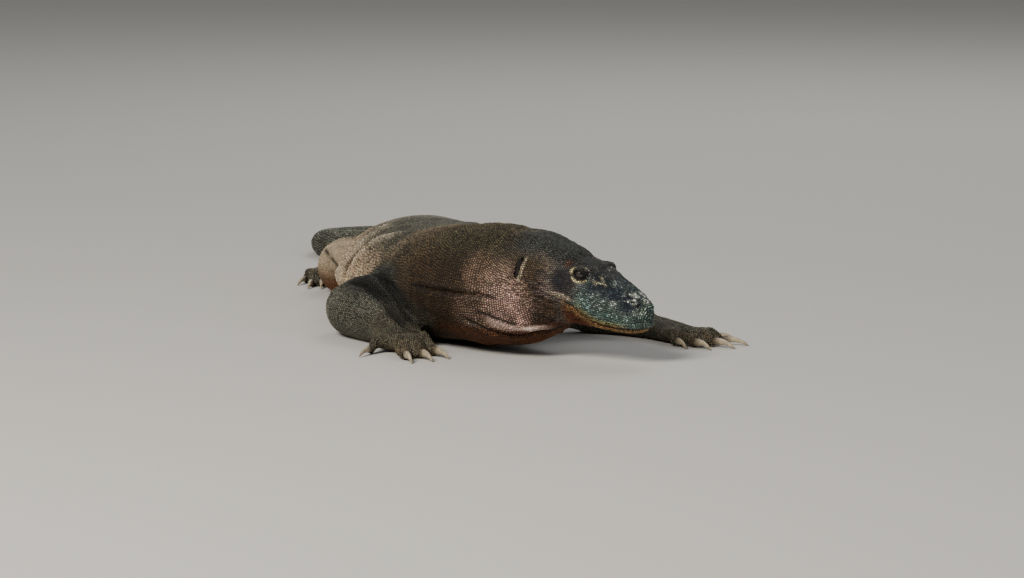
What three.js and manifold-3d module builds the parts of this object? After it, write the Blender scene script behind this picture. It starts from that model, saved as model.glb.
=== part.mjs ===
// Komodo dragon, an adult at rest on its belly, life size, as one still model.
// Millimetres, +Z up. The stations are measured from the ground point under the
// shoulders (+X to the snout, +Y to the animal's left); ORIGIN then moves the
// model so that the frame sits at the middle of its footprint.
import * as THREE from "three";
import { mergeVertices } from "three/addons/utils/BufferGeometryUtils.js";
import Module from "manifold-3d";

const wasm = await Module();
wasm.setup();
const { Manifold, Mesh: SolidMesh } = wasm;

// ------------------------------------------------------------------ sizes
const ORIGIN = [-407.4, 113.7, 0];
const SEAM = 0.3; // clear gap between two neighbouring parts
const SLAB = 340; // width of the thin slab that parts the trunk
const BODY_SIDES = 20;
const HEAD_SIDES = 20;
const LIMB_SIDES = 9;
const LIMB_STEPS = 1;
const DIGIT_SIDES = 6;
const CLAW_SIDES = 5;

// Trunk and tail: x, y of the spine line, half width, height of the back,
// height of the widest line, height of the underside.
const TRUNK = [
  [-800, 308, 4, 9, 4.5, 0], // tail tip
  [-878, 316, 9, 18, 9, 0],
  [-965, 311, 12, 23, 11, 0],
  [-1045, 281, 15, 28, 13, 0],
  [-1110, 221, 17, 32, 15, 0],
  [-1150, 140, 19, 35, 17, 0],
  [-1160, 50, 22, 37, 18, 0],
  [-1145, -30, 25, 39, 19, 0],
  [-1105, -88, 28, 41, 20, 0],
  [-1040, -99, 33, 45, 22, 0], // the tail's outward bend
  [-978, -60, 39, 51, 25, 0],
  [-912, -8, 48, 62, 31, 0],
  [-830, 26, 62, 80, 39, 0],
  [-735, 34, 79, 98, 46, 0], // vent
  [-640, 22, 98, 113, 50, 0], // pelvis
  [-520, 6, 121, 125, 52, 0],
  [-400, 0, 141, 136, 50, 0], // belly
  [-270, 0, 149, 146, 50, 0],
  [-140, 0, 140, 156, 58, 0],
  [-30, 2, 124, 166, 70, 0], // shoulders
  [60, 10, 108, 177, 80, 6],
  [135, 32, 96, 186, 88, 14],
  [195, 66, 86, 191, 96, 20], // neck
  [240, 106, 66, 176, 112, 40],
  [268, 138, 40, 160, 118, 80], // inside the back of the skull
];
const TRUNK_STEPS = [1, 1, 1, 1, 1, 1, 1, 2, 2, 2, 2, 2, 2, 1, 1, 1, 1, 2, 2, 2, 2, 2, 2, 1];

// Loose skin of the throat, resting on the ground: x, y, z, half width, half height.
const THROAT = [
  [118, 16, 58, 50, 46],
  [150, 34, 57, 72, 50],
  [185, 60, 57, 78, 48],
  [215, 88, 58, 72, 45],
  [240, 116, 63, 56, 34],
  [256, 135, 66, 34, 22],
  [263, 144, 70, 14, 9],
];

// Head, measured along its own axis from the ear forward to the snout tip.
const EAR = [232, 98, 120];
const HEAD_YAW = 50;
const HEAD_DROP = 13;
const HEAD_RINGS = [-58, -28, 2, 30, 56, 78, 96, 114, 134, 154, 172, 186, 196, 202, 205.5];
const CROWN = [[-60, 56], [0, 65], [45, 59], [80, 56], [100, 53], [120, 43], [150, 33], [180, 23], [197, 11], [205.5, -6]];
const CROWN_HALF = [[-60, 44], [0, 42], [45, 38], [80, 37], [100, 36], [120, 27], [150, 22], [180, 18], [197, 11], [205.5, 3]];
const CHEEK_HALF = [[-60, 70], [0, 66], [45, 58], [80, 50], [110, 43], [150, 37], [180, 30], [197, 20], [205.5, 6]];
const CHEEK_RISE = [[-60, 0], [0, 0], [80, 5], [150, 1], [205.5, -9]];
const LIP_HALF = [[-60, 60], [0, 61], [45, 58], [80, 50], [110, 44], [150, 39], [180, 32.5], [197, 22], [205.5, 6]];
const LIP_RISE = [[-60, -24], [0, -22], [45, -18], [80, -20], [110, -23], [150, -25], [180, -23], [205.5, -13]];
const JAW_HALF = [[-60, 36], [0, 40], [45, 38], [80, 34], [110, 31], [150, 28], [180, 23], [197, 15], [205.5, 4]];
const CHIN = [[-60, -60], [0, -66], [45, -58], [80, -49], [110, -45], [150, -40], [180, -35], [197, -28], [205.5, -17]];
const MOUTH_CORNER = 62;
const MOUTH_SHIFT = -4; // the mouth line lies this far below the fullest part of the lips
const EYE = { at: [94, 39.5, 33.5], radius: 8.5 };
const NOSTRIL = { at: [189, 19, 10], half: [5, 4, 3] };
const EARDRUM = { at: [2, 66.5, 16], half: [4.2, 3, 12] };

// Limbs: x, y, z of the centre line, half width, half height.
const ARM_RIGHT = [
  [50, -50, 64, 40, 38], // inside the chest
  [26, -98, 60, 42, 40],
  [-14, -134, 50, 46, 43],
  [-36, -150, 39, 46, 42], // elbow
  [6, -147, 38, 44, 40],
  [60, -128, 34, 39, 35],
  [112, -110, 29, 34, 25], // wrist
  [150, -102, 20, 40, 20],
  [184, -98, 15, 43, 16], // palm
];
const ARM_LEFT = [
  [30, 55, 66, 38, 38],
  [16, 112, 60, 42, 40],
  [0, 168, 48, 40, 38],
  [-2, 214, 33, 36, 36], // elbow
  [28, 256, 24, 33, 25],
  [64, 290, 18, 30, 19], // wrist
  [98, 314, 15, 34, 16],
  [130, 334, 12, 37, 13], // palm
];
const LEG_RIGHT = [
  [-665, -10, 48, 50, 38], // inside the pelvis
  [-628, -66, 47, 52, 38],
  [-576, -108, 44, 48, 41],
  [-536, -126, 40, 40, 43], // knee
  [-600, -112, 48, 33, 34],
  [-656, -103, 42, 27, 28],
  [-708, -100, 22, 23, 23], // heel
  [-718, -124, 14, 22, 16],
  [-688, -142, 11, 27, 13], // sole
];
const LEG_LEFT = [
  [-665, 55, 56, 52, 42],
  [-614, 104, 56, 54, 46],
  [-556, 140, 50, 48, 46],
  [-512, 158, 40, 40, 43],
  [-574, 170, 48, 33, 34],
  [-632, 181, 41, 27, 28],
  [-682, 194, 22, 23, 23],
  [-680, 222, 14, 23, 16],
  [-646, 242, 11, 28, 13],
];

// Digits: x, y of the knuckle, heading in degrees, length, half width, arch height.
const CLAW_LENGTH = 34;
const HAND_RIGHT = [
  [168, -132, -30, 38, 9, 18],
  [190, -114, 8, 84, 10.5, 24],
  [192, -97, 17, 72, 10.5, 25],
  [182, -80, 26, 60, 10.5, 26],
  [154, -78, 30, 34, 9.5, 18],
];
const HAND_LEFT = [
  [136, 308, 14, 36, 9.5, 19],
  [152, 322, 28, 44, 10, 21],
  [152, 338, 46, 48, 10, 21],
  [140, 352, 62, 46, 9.5, 19],
  [116, 354, 96, 28, 9, 16],
];
const FOOT_RIGHT = [
  [-684, -126, 8, 28, 8.5, 17],
  [-664, -134, 0, 44, 9.5, 20],
  [-660, -145, -7, 52, 9.5, 20],
  [-666, -156, -13, 56, 9, 19],
  [-694, -160, -24, 38, 8.5, 17],
];
const FOOT_LEFT = [
  [-644, 218, -8, 36, 8.5, 18],
  [-628, 233, 14, 54, 9.5, 20],
  [-624, 246, 24, 64, 9.5, 21],
  [-630, 258, 36, 68, 9, 20],
  [-658, 262, 60, 44, 8.5, 17],
];

// -------------------------------------------------------------- functions
const radians = (degrees) => (degrees * Math.PI) / 180;

// Catmull-Rom rows between the rows of a table, steps[i] of them in span i.
function smoothRows(rows, steps) {
  const first = rows[0].map((v, c) => 2 * v - rows[1][c]);
  const end = rows.length - 1;
  const last = rows[end].map((v, c) => 2 * v - rows[end - 1][c]);
  const padded = [first, ...rows, last];
  const out = [];
  for (let i = 0; i < end; i++) {
    const n = Array.isArray(steps) ? steps[i] : steps;
    for (let j = 0; j < n; j++) out.push(blendRow(padded, i + 1, j / n));
  }
  out.push(rows[end].slice());
  return out;
}

function blendRow(padded, i, t) {
  return padded[i].map((p1, c) => {
    const p0 = padded[i - 1][c], p2 = padded[i + 1][c], p3 = padded[i + 2][c];
    return 0.5 * (2 * p1 + (p2 - p0) * t + (2 * p0 - 5 * p1 + 4 * p2 - p3) * t * t + (3 * p1 - p0 - 3 * p2 + p3) * t * t * t);
  });
}

// A profile's value at x: monotone cubic through its knots.
function along(knots, x) {
  const n = knots.length;
  const slope = (i) => (knots[i + 1][1] - knots[i][1]) / (knots[i + 1][0] - knots[i][0]);
  const tangent = (i) => {
    if (i === 0) return slope(0);
    if (i === n - 1) return slope(n - 2);
    const a = slope(i - 1), b = slope(i);
    return a * b > 0 ? (2 * a * b) / (a + b) : 0;
  };
  let i = 0;
  while (i < n - 2 && x > knots[i + 1][0]) i++;
  const [x0, y0] = knots[i], [x1, y1] = knots[i + 1];
  const h = x1 - x0, t = (x - x0) / h;
  return y0 * (2 * t ** 3 - 3 * t ** 2 + 1) + y1 * (3 * t ** 2 - 2 * t ** 3) +
    h * tangent(i) * (t ** 3 - 2 * t ** 2 + t) + h * tangent(i + 1) * (t ** 3 - t ** 2);
}

// A closed surface through rings of equal length, with a fan at each end.
function loft(rings) {
  const sides = rings[0].length, count = rings.length;
  const points = rings.flat().flat();
  for (const ring of [rings[0], rings[count - 1]])
    for (let c = 0; c < 3; c++) points.push(ring.reduce((sum, p) => sum + p[c], 0) / sides);
  const index = [];
  for (let i = 0; i < count - 1; i++)
    for (let j = 0; j < sides; j++) {
      const k = (j + 1) % sides, a = i * sides, b = a + sides;
      index.push(a + j, a + k, b + k, a + j, b + k, b + j);
    }
  for (let j = 0; j < sides; j++) {
    const k = (j + 1) % sides, b = (count - 1) * sides;
    index.push(count * sides, k, j, count * sides + 1, b + j, b + k);
  }
  const geometry = new THREE.BufferGeometry();
  geometry.setAttribute("position", new THREE.Float32BufferAttribute(points, 3));
  geometry.setIndex(index);
  return geometry;
}

function toSolid(geometry) {
  const bare = geometry.clone();
  for (const name of ["normal", "uv"]) if (bare.getAttribute(name)) bare.deleteAttribute(name);
  const merged = mergeVertices(bare, 1e-4);
  return new Manifold(new SolidMesh({
    numProp: 3,
    vertProperties: new Float32Array(merged.getAttribute("position").array),
    triVerts: new Uint32Array(merged.index.array),
  }));
}

function toGeometry(solid) {
  const mesh = solid.getMesh();
  const geometry = new THREE.BufferGeometry();
  geometry.setAttribute("position", new THREE.BufferAttribute(new Float32Array(mesh.vertProperties), 3));
  geometry.setIndex(Array.from(mesh.triVerts));
  geometry.computeVertexNormals();
  return geometry;
}

const lofted = (rings) => toSolid(loft(rings));
const join = (solids) => solids.reduce((a, b) => a.add(b));

// One closed body out of a cut, the largest.
function largest(solid) {
  return solid.decompose().reduce((a, b) => (a.volume() > b.volume() ? a : b));
}

// The flattened oval sections of trunk and tail, standing on the floor.
function trunkRings(grow = 0) {
  const rows = smoothRows(TRUNK, TRUNK_STEPS);
  return rows.map(([x, y, half, back, widest, under], i) => {
    const [xa, ya] = rows[Math.max(i - 1, 0)], [xb, yb] = rows[Math.min(i + 1, rows.length - 1)];
    const length = Math.hypot(xb - xa, yb - ya);
    const side = [-(yb - ya) / length, (xb - xa) / length];
    const ring = [];
    for (let j = 0; j < BODY_SIDES; j++) {
      const a = (j / BODY_SIDES) * 2 * Math.PI, c = Math.cos(a), s = Math.sin(a);
      const across = (half + grow) * Math.sign(c) * Math.abs(c) ** (s >= 0 ? 0.95 : 0.72);
      const z = s >= 0 ? widest + (back + grow - widest) * s
        : widest - (widest - under + 4 + grow) * Math.abs(s) ** 0.9;
      ring.push([x + side[0] * across, y + side[1] * across, Math.max(z, -grow)]);
    }
    return ring;
  });
}

// Oval sections square to a centre line; nothing goes below the floor.
function tubeRings(rows, sides, steps, grow = 0) {
  const fine = smoothRows(rows, steps);
  return fine.map(([x, y, z, w, h], i) => {
    const a = fine[Math.max(i - 1, 0)], b = fine[Math.min(i + 1, fine.length - 1)];
    const ahead = new THREE.Vector3(b[0] - a[0], b[1] - a[1], b[2] - a[2]).normalize();
    const side = new THREE.Vector3(0, 0, 1).cross(ahead).normalize();
    const up = ahead.clone().cross(side);
    const out = i === 0 ? -grow : i === fine.length - 1 ? grow : 0;
    const ring = [];
    for (let j = 0; j < sides; j++) {
      const t = (j / sides) * 2 * Math.PI;
      const u = (w + grow) * Math.cos(t), v = (h + grow) * Math.sin(t);
      const point = [x, y, z].map((p, c) => p + side.getComponent(c) * u + up.getComponent(c) * v + ahead.getComponent(c) * out);
      ring.push([point[0], point[1], Math.max(point[2], -grow)]);
    }
    return ring;
  });
}

// The round of an elbow or a knee, flat where it rests on the floor.
function jointBall([x, y, z, w, h], grow = 0) {
  const ball = new THREE.SphereGeometry(1, 8, 6).scale(w + grow, w + grow, h + grow).translate(x, y, z);
  const at = ball.getAttribute("position");
  for (let i = 0; i < at.count; i++) at.setZ(i, Math.max(at.getZ(i), -grow));
  return toSolid(ball);
}

// The head's section at s: crown, brow, cheek, lips and chin, the same on both sides.
function headRing(s) {
  const top = along(CROWN, s), bottom = along(CHIN, s), tall = top - bottom;
  const crown = along(CROWN_HALF, s), cheek = along(CHEEK_HALF, s), rise = along(CHEEK_RISE, s);
  const lip = along(LIP_HALF, s), lipRise = along(LIP_RISE, s), jaw = along(JAW_HALF, s);
  const half = [
    [0, top], [0.55 * crown, top - 0.01 * tall], [crown, top - 0.07 * tall],
    [0.98 * cheek, rise + 0.16 * tall], [cheek, rise - 0.04 * tall], [lip, lipRise],
    [1.15 * jaw, bottom + 0.16 * tall], [0.8 * jaw, bottom + 0.02 * tall], [0, bottom],
  ];
  const around = [...half, ...half.slice(1, -1).reverse().map(([u, v]) => [-u, v])];
  const n = around.length, ring = [];
  for (let j = 0; j < HEAD_SIDES; j++) {
    const at = (j * n) / HEAD_SIDES, i = Math.floor(at);
    const four = [-1, 0, 1, 2].map((k) => around[(i + k + n) % n]);
    ring.push(blendRow(four, 1, at - i));
  }
  return ring.map(([u, v]) => [s, -u, v]);
}

function placeHead(geometry) {
  const turn = new THREE.Matrix4().makeRotationFromEuler(new THREE.Euler(0, radians(HEAD_DROP), radians(HEAD_YAW), "ZYX"));
  return geometry.applyMatrix4(turn).translate(...EAR);
}

// A ball of three half sizes in the head's own frame, mirrored for the right side.
function headBall(at, half, side, grow = 0, across = 8, down = 6) {
  const ball = new THREE.SphereGeometry(1, across, down);
  ball.scale(half[0] + grow, half[1] + grow, half[2] + grow);
  ball.translate(at[0], side * at[1], at[2]);
  return toSolid(placeHead(ball));
}

// The lower jaw's cutter: a prism under the line of the lips, forward of the mouth's corner.
function jawCutter(grow) {
  const outline = [[MOUTH_CORNER - 14 - grow, -95]];
  outline.push([MOUTH_CORNER - grow, along(LIP_RISE, MOUTH_CORNER) + MOUTH_SHIFT + grow]);
  for (let s = 84; s <= 200; s += 29) outline.push([s, along(LIP_RISE, s) + MOUTH_SHIFT + grow]);
  outline.push([212, along(LIP_RISE, 205) + MOUTH_SHIFT + grow], [212, -95]);
  const wall = (side) => outline.map(([s, z]) => [s, side * 90, z]);
  return toSolid(placeHead(loft([wall(-1), wall(1)])));
}

// A digit from its knuckle, arched, then flat to the floor, and the claw that leaves it.
function digitRows([x, y, heading, length, w, arch]) {
  const dx = Math.cos(radians(heading)), dy = Math.sin(radians(heading));
  const shape = [[-0.2, 13, 1], [0.38, arch, 1.1], [0.74, 0.76 * w, 1.02], [1, 0.76 * w, 0.78]];
  return shape.map(([f, z, k]) => [x + dx * length * f, y + dy * length * f, z, w * k, 0.95 * w * k]);
}

function clawRows([x, y, heading, length, w]) {
  const dx = Math.cos(radians(heading)), dy = Math.sin(radians(heading));
  const shape = [[0, 0.84, 0.52], [0.3, 0.84, 0.5], [0.66, 0.66, 0.34], [1, 0.07, 0.07]];
  return shape.map(([f, z, k]) => {
    const reach = length + 2 * SEAM + CLAW_LENGTH * f;
    return [x + dx * reach, y + dy * reach, z * w, 0.8 * w * k, w * k];
  });
}

// ------------------------------------------------------------------ parts
const group = new THREE.Group();
group.name = "komodo_dragon";
const model = new THREE.Group();
model.name = "model";
model.position.set(-ORIGIN[0], -ORIGIN[1], -ORIGIN[2]);
group.add(model);

const finish = {
  hide: new THREE.MeshStandardMaterial({ name: "hide", color: 0x6f665c, roughness: 0.72, metalness: 0 }),
  headHide: new THREE.MeshStandardMaterial({ name: "head_hide", color: 0x4f5560, roughness: 0.6, metalness: 0 }),
  claw: new THREE.MeshStandardMaterial({ name: "claw", color: 0xb9ad97, roughness: 0.4, metalness: 0 }),
  eye: new THREE.MeshStandardMaterial({ name: "eye", color: 0x1b120c, roughness: 0.08, metalness: 0 }),
  drum: new THREE.MeshStandardMaterial({ name: "eardrum", color: 0x2a241f, roughness: 0.7, metalness: 0 }),
};

function addPart(name, solid, material) {
  const mesh = new THREE.Mesh(toGeometry(solid), material);
  mesh.name = name;
  model.add(mesh);
}

// Cuts a solid by a thin upright slab square to a heading: the piece ahead and the rest.
function cutAcross(solid, x, y, heading) {
  const slab = new THREE.BoxGeometry(SEAM, SLAB, SLAB).rotateZ(radians(heading)).translate(x, y, 90);
  const normal = [Math.cos(radians(heading)), Math.sin(radians(heading))];
  const side = (piece) => {
    const { min, max } = piece.boundingBox();
    return ((min[0] + max[0]) / 2 - x) * normal[0] + ((min[1] + max[1]) / 2 - y) * normal[1];
  };
  const pieces = solid.subtract(toSolid(slab)).decompose().sort((a, b) => b.volume() - a.volume()).slice(0, 2);
  return side(pieces[0]) > side(pieces[1]) ? pieces : pieces.reverse();
}

// Cuts the trunk and tail into lengths: x, y, heading and the name of the piece ahead.
function addInLengths(solid, cuts, lastName, material) {
  let rest = solid;
  for (const [x, y, heading, name] of cuts) {
    const [piece, behind] = cutAcross(rest, x, y, heading);
    addPart(name, piece, material);
    rest = behind;
  }
  addPart(lastName, rest, material);
}

// Head, neck, trunk and tail.
const trunk = lofted(trunkRings());
const throat = lofted(tubeRings(THROAT, 16, 1));
const skull = toSolid(placeHead(loft(HEAD_RINGS.map(headRing))));
const axis = join([trunk, throat, skull]);
const [wholeHead, body] = cutAcross(axis, 204, 66, HEAD_YAW);
let head = wholeHead;
for (const side of [1, -1]) {
  const name = side > 0 ? "L" : "R";
  const { at, radius } = EYE;
  addPart("eye_" + name, headBall(at, [radius, radius, radius], side), finish.eye);
  addPart("eardrum_" + name, headBall(EARDRUM.at, EARDRUM.half, side, 0, 6, 4), finish.drum);
  head = head
    .subtract(headBall(at, [radius, radius, radius], side, SEAM))
    .subtract(headBall(EARDRUM.at, EARDRUM.half, side, SEAM, 6, 4))
    .subtract(headBall(NOSTRIL.at, NOSTRIL.half, side, 0, 6, 4));
}
addPart("head", largest(head.subtract(jawCutter(SEAM))), finish.headHide);
addPart("jaw", largest(head.intersect(jawCutter(0))), finish.headHide);
addInLengths(body, [
  [66, 12, 10, "neck"],
  [-200, 0, 0, "chest"],
  [-470, 3, 0, "belly"],
  [-735, 34, 0, "pelvis"],
  [-912, -8, 30, "tail_root"],
  [-1105, -88, -25, "tail_mid"],
  [-1155, 95, -95, "tail_thin"],
], "tail_tip", finish.hide);

// Limbs: each is joined to its digits, cleared off the trunk, and cut at its joints.
const bodyClear = join([lofted(trunkRings(SEAM)), lofted(tubeRings(THROAT, 16, 1, SEAM))]);
const limbs = [
  { name: "arm_R", rows: ARM_RIGHT, digits: HAND_RIGHT, parts: ["upper_arm_R", "forearm_R", "hand_R"] },
  { name: "arm_L", rows: ARM_LEFT, digits: HAND_LEFT, parts: ["upper_arm_L", "forearm_L", "hand_L"] },
  { name: "leg_R", rows: LEG_RIGHT, digits: FOOT_RIGHT, parts: ["thigh_R", "shin_R", "foot_R"] },
  { name: "leg_L", rows: LEG_LEFT, digits: FOOT_LEFT, parts: ["thigh_L", "shin_L", "foot_L"] },
];
for (const { name, rows, digits, parts } of limbs) {
  const isArm = name.startsWith("arm");
  const bend = 3; // the row of the elbow or the knee
  const end = rows.length - 3; // the row of the wrist or the heel
  const upperRows = rows.slice(0, bend + 1), lowerRows = rows.slice(bend, end + 1), palmRows = rows.slice(end);
  const tube = (part, grow = 0) => lofted(tubeRings(part, LIMB_SIDES, LIMB_STEPS, grow));
  const lowerWith = (grow) => tube(lowerRows, grow).add(jointBall(rows[bend], grow));
  const handWith = (grow) =>
    join([tube(palmRows, grow), ...digits.map((digit) => lofted(tubeRings(digitRows(digit), DIGIT_SIDES, 1, grow)))]);
  const clawOf = (digit, grow = 0) => lofted(tubeRings(clawRows(digit), CLAW_SIDES, 1, grow));
  const clawsClear = join(digits.map((digit) => clawOf(digit, SEAM)));
  const handClear = handWith(SEAM).add(clawsClear);
  addPart(parts[0], largest(tube(upperRows).subtract(bodyClear).subtract(lowerWith(SEAM)).subtract(handClear)), finish.hide);
  addPart(parts[1], largest(lowerWith(0).subtract(bodyClear).subtract(handClear)), finish.hide);
  addPart(parts[2], largest(handWith(0).subtract(bodyClear).subtract(clawsClear)), finish.hide);
  digits.forEach((digit, i) => {
    const claw = clawOf(digit);
    const where = (isArm ? "hand_" : "foot_") + name.slice(-1);
    addPart(`claw_${where}_${i + 1}`, claw, finish.claw);
  });
}

export default group;
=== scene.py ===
import bpy, bmesh
import numpy as np
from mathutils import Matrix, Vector
from mathutils.bvhtree import BVHTree
from mathutils.kdtree import KDTree


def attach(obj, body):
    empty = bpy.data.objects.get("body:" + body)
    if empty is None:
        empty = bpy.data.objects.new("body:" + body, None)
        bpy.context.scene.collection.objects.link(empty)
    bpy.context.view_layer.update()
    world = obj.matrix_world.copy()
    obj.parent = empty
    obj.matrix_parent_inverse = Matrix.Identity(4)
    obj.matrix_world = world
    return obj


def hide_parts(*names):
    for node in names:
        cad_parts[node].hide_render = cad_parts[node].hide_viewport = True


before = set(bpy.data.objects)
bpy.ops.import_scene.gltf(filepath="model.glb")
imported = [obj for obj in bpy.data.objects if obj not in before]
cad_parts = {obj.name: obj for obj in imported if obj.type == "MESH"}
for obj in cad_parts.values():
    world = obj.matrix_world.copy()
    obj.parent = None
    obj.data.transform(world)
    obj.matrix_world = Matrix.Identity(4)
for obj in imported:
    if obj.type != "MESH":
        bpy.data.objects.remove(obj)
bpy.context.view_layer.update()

# ---------------------------------------------------------------- the skin
# The hide of a big lizard: one unbroken skin over trunk, neck, head, limbs and tail,
# loose enough to hang in folds at throat, shoulder, flank, elbow and knee.
# Tables are in millimetres from the ground under the shoulders, +X forward, +Y to its left.
ORIGIN = np.array([-407.4, 113.7, 0.0])

TRUNK = [  # x, y, half width, back, widest height, underside
    [-800, 308, 4, 9, 4.5, 0], [-878, 316, 9, 18, 9, 0], [-965, 311, 12, 23, 11, 0],
    [-1045, 281, 15, 28, 13, 0], [-1110, 221, 17, 32, 15, 0], [-1150, 140, 19, 35, 17, 0],
    [-1160, 50, 22, 37, 18, 0], [-1145, -30, 25, 39, 19, 0], [-1105, -88, 28, 41, 20, 0],
    [-1040, -99, 33, 45, 22, 0], [-978, -60, 39, 51, 25, 0], [-912, -8, 48, 62, 31, 0],
    [-830, 26, 62, 80, 39, 0], [-735, 34, 79, 98, 46, 0], [-640, 22, 98, 113, 50, 0],
    [-520, 6, 121, 125, 52, 0], [-400, 0, 141, 136, 50, 0], [-270, 0, 149, 146, 50, 0],
    [-140, 0, 140, 156, 58, 0], [-30, 2, 124, 166, 70, 0], [60, 10, 108, 177, 80, 6],
    [135, 32, 96, 186, 88, 14], [195, 66, 86, 191, 96, 20], [240, 106, 66, 176, 112, 40],
    [268, 138, 40, 160, 118, 80]]
THROAT = [  # x, y, z, half width, half height
    [118, 16, 58, 50, 46], [150, 34, 57, 72, 50], [185, 60, 57, 78, 48], [215, 88, 58, 72, 45],
    [240, 116, 63, 56, 34], [256, 135, 66, 34, 22], [263, 144, 70, 14, 9]]
ARM_RIGHT = [
    [50, -50, 64, 40, 38], [26, -98, 60, 42, 40], [-14, -134, 50, 46, 43], [-36, -150, 39, 46, 42],
    [6, -147, 38, 44, 40], [60, -128, 34, 39, 35], [112, -110, 29, 34, 25], [150, -102, 20, 40, 20],
    [184, -98, 15, 43, 16]]
ARM_LEFT = [
    [30, 55, 66, 38, 38], [16, 112, 60, 42, 40], [0, 168, 48, 40, 38], [-2, 214, 33, 36, 36],
    [28, 256, 24, 33, 25], [64, 290, 18, 30, 19], [98, 314, 15, 34, 16], [130, 334, 12, 37, 13]]
LEG_RIGHT = [
    [-665, -10, 48, 50, 38], [-628, -66, 47, 52, 38], [-576, -108, 44, 48, 41],
    [-536, -126, 40, 40, 43], [-600, -112, 48, 33, 34], [-656, -103, 42, 27, 28],
    [-708, -100, 22, 23, 23], [-718, -124, 14, 22, 16], [-688, -142, 11, 27, 13]]
LEG_LEFT = [
    [-665, 55, 56, 52, 42], [-614, 104, 56, 54, 46], [-556, 140, 50, 48, 46],
    [-512, 158, 40, 40, 43], [-574, 170, 48, 33, 34], [-632, 181, 41, 27, 28],
    [-682, 194, 22, 23, 23], [-680, 222, 14, 23, 16], [-646, 242, 11, 28, 13]]
HAND_RIGHT = [  # x, y of the knuckle, heading in degrees, length, half width, arch height
    [168, -132, -30, 38, 9, 18], [190, -114, 8, 84, 10.5, 24], [192, -97, 17, 72, 10.5, 25],
    [182, -80, 26, 60, 10.5, 26], [154, -78, 30, 34, 9.5, 18]]
HAND_LEFT = [
    [136, 308, 14, 36, 9.5, 19], [152, 322, 28, 44, 10, 21], [152, 338, 46, 48, 10, 21],
    [140, 352, 62, 46, 9.5, 19], [116, 354, 96, 28, 9, 16]]
FOOT_RIGHT = [
    [-684, -126, 8, 28, 8.5, 17], [-664, -134, 0, 44, 9.5, 20], [-660, -145, -7, 52, 9.5, 20],
    [-666, -156, -13, 56, 9, 19], [-694, -160, -24, 38, 8.5, 17]]
FOOT_LEFT = [
    [-644, 218, -8, 36, 8.5, 18], [-628, 233, 14, 54, 9.5, 20], [-624, 246, 24, 64, 9.5, 21],
    [-630, 258, 36, 68, 9, 20], [-658, 262, 60, 44, 8.5, 17]]
EAR = np.array([232.0, 98.0, 120.0])
CROWN = [[-60, 56], [0, 65], [45, 59], [80, 56], [100, 53], [120, 43], [150, 33], [180, 23], [197, 11],
         [205.5, -6]]
CROWN_HALF = [[-60, 44], [0, 42], [45, 38], [80, 37], [100, 36], [120, 27], [150, 22], [180, 18],
              [197, 11], [205.5, 3]]
CHEEK_HALF = [[-60, 70], [0, 66], [45, 58], [80, 50], [110, 43], [150, 37], [180, 30], [197, 20],
              [205.5, 6]]
CHEEK_RISE = [[-60, 0], [0, 0], [80, 5], [150, 1], [205.5, -9]]
LIP_HALF = [[-60, 60], [0, 61], [45, 58], [80, 50], [110, 44], [150, 39], [180, 32.5], [197, 22],
            [205.5, 6]]
LIP_RISE = [[-60, -24], [0, -22], [45, -18], [80, -20], [110, -23], [150, -25], [180, -23], [205.5, -13]]
JAW_HALF = [[-60, 36], [0, 40], [45, 38], [80, 34], [110, 31], [150, 28], [180, 23], [197, 15], [205.5, 4]]
CHIN = [[-60, -60], [0, -66], [45, -58], [80, -49], [110, -45], [150, -40], [180, -35], [197, -28],
        [205.5, -17]]

yaw, drop = np.radians(50.0), np.radians(13.0)
HEAD_TURN = np.array([[np.cos(yaw), -np.sin(yaw), 0], [np.sin(yaw), np.cos(yaw), 0], [0, 0, 1]]) @ \
    np.array([[np.cos(drop), 0, np.sin(drop)], [0, 1, 0], [-np.sin(drop), 0, np.cos(drop)]])


def between_rows(rows, steps):
    """Rows on a Catmull-Rom curve through the rows of a table, `steps` of them in each span."""
    rows = np.asarray(rows, float)
    padded = np.vstack([2 * rows[0] - rows[1], rows, 2 * rows[-1] - rows[-2]])
    t = np.linspace(0, 1, steps, endpoint=False)[None, :, None]
    p0, p1, p2, p3 = (padded[k:len(rows) - 1 + k, None, :] for k in range(4))
    fine = 0.5 * (2 * p1 + (p2 - p0) * t + (2 * p0 - 5 * p1 + 4 * p2 - p3) * t**2
                  + (3 * p1 - p0 - 3 * p2 + p3) * t**3)
    return np.vstack([fine.reshape(-1, rows.shape[1]), rows[-1]])


def headings(path):
    """Unit steps along a path: each point's heading runs from the point before to the point after."""
    ahead = np.vstack([path[1:], path[-1:]]) - np.vstack([path[:1], path[:-1]])
    return ahead / np.linalg.norm(ahead, axis=1, keepdims=True)


def trunk_surface(rows, steps, sides):
    """A superellipse carried along the back's plan: above the widest height the section rises
    with the sine to the back, below it falls with the sine to the 0.9 to the floor."""
    x, y, half, back, widest, under = (between_rows(rows, steps)[:, k, None] for k in range(6))
    ahead = headings(np.hstack([x, y]))
    a = np.linspace(0, 2 * np.pi, sides, endpoint=False)[None, :]
    c, s = np.cos(a), np.sin(a)
    across = half * np.sign(c) * np.abs(c) ** np.where(s >= 0, 0.95, 0.72)
    z = np.where(s >= 0, widest + (back - widest) * s, widest - (widest - under + 4) * np.abs(s) ** 0.9)
    return np.stack([x - ahead[:, 1, None] * across, y + ahead[:, 0, None] * across, np.maximum(z, 0)], 2)


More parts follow.
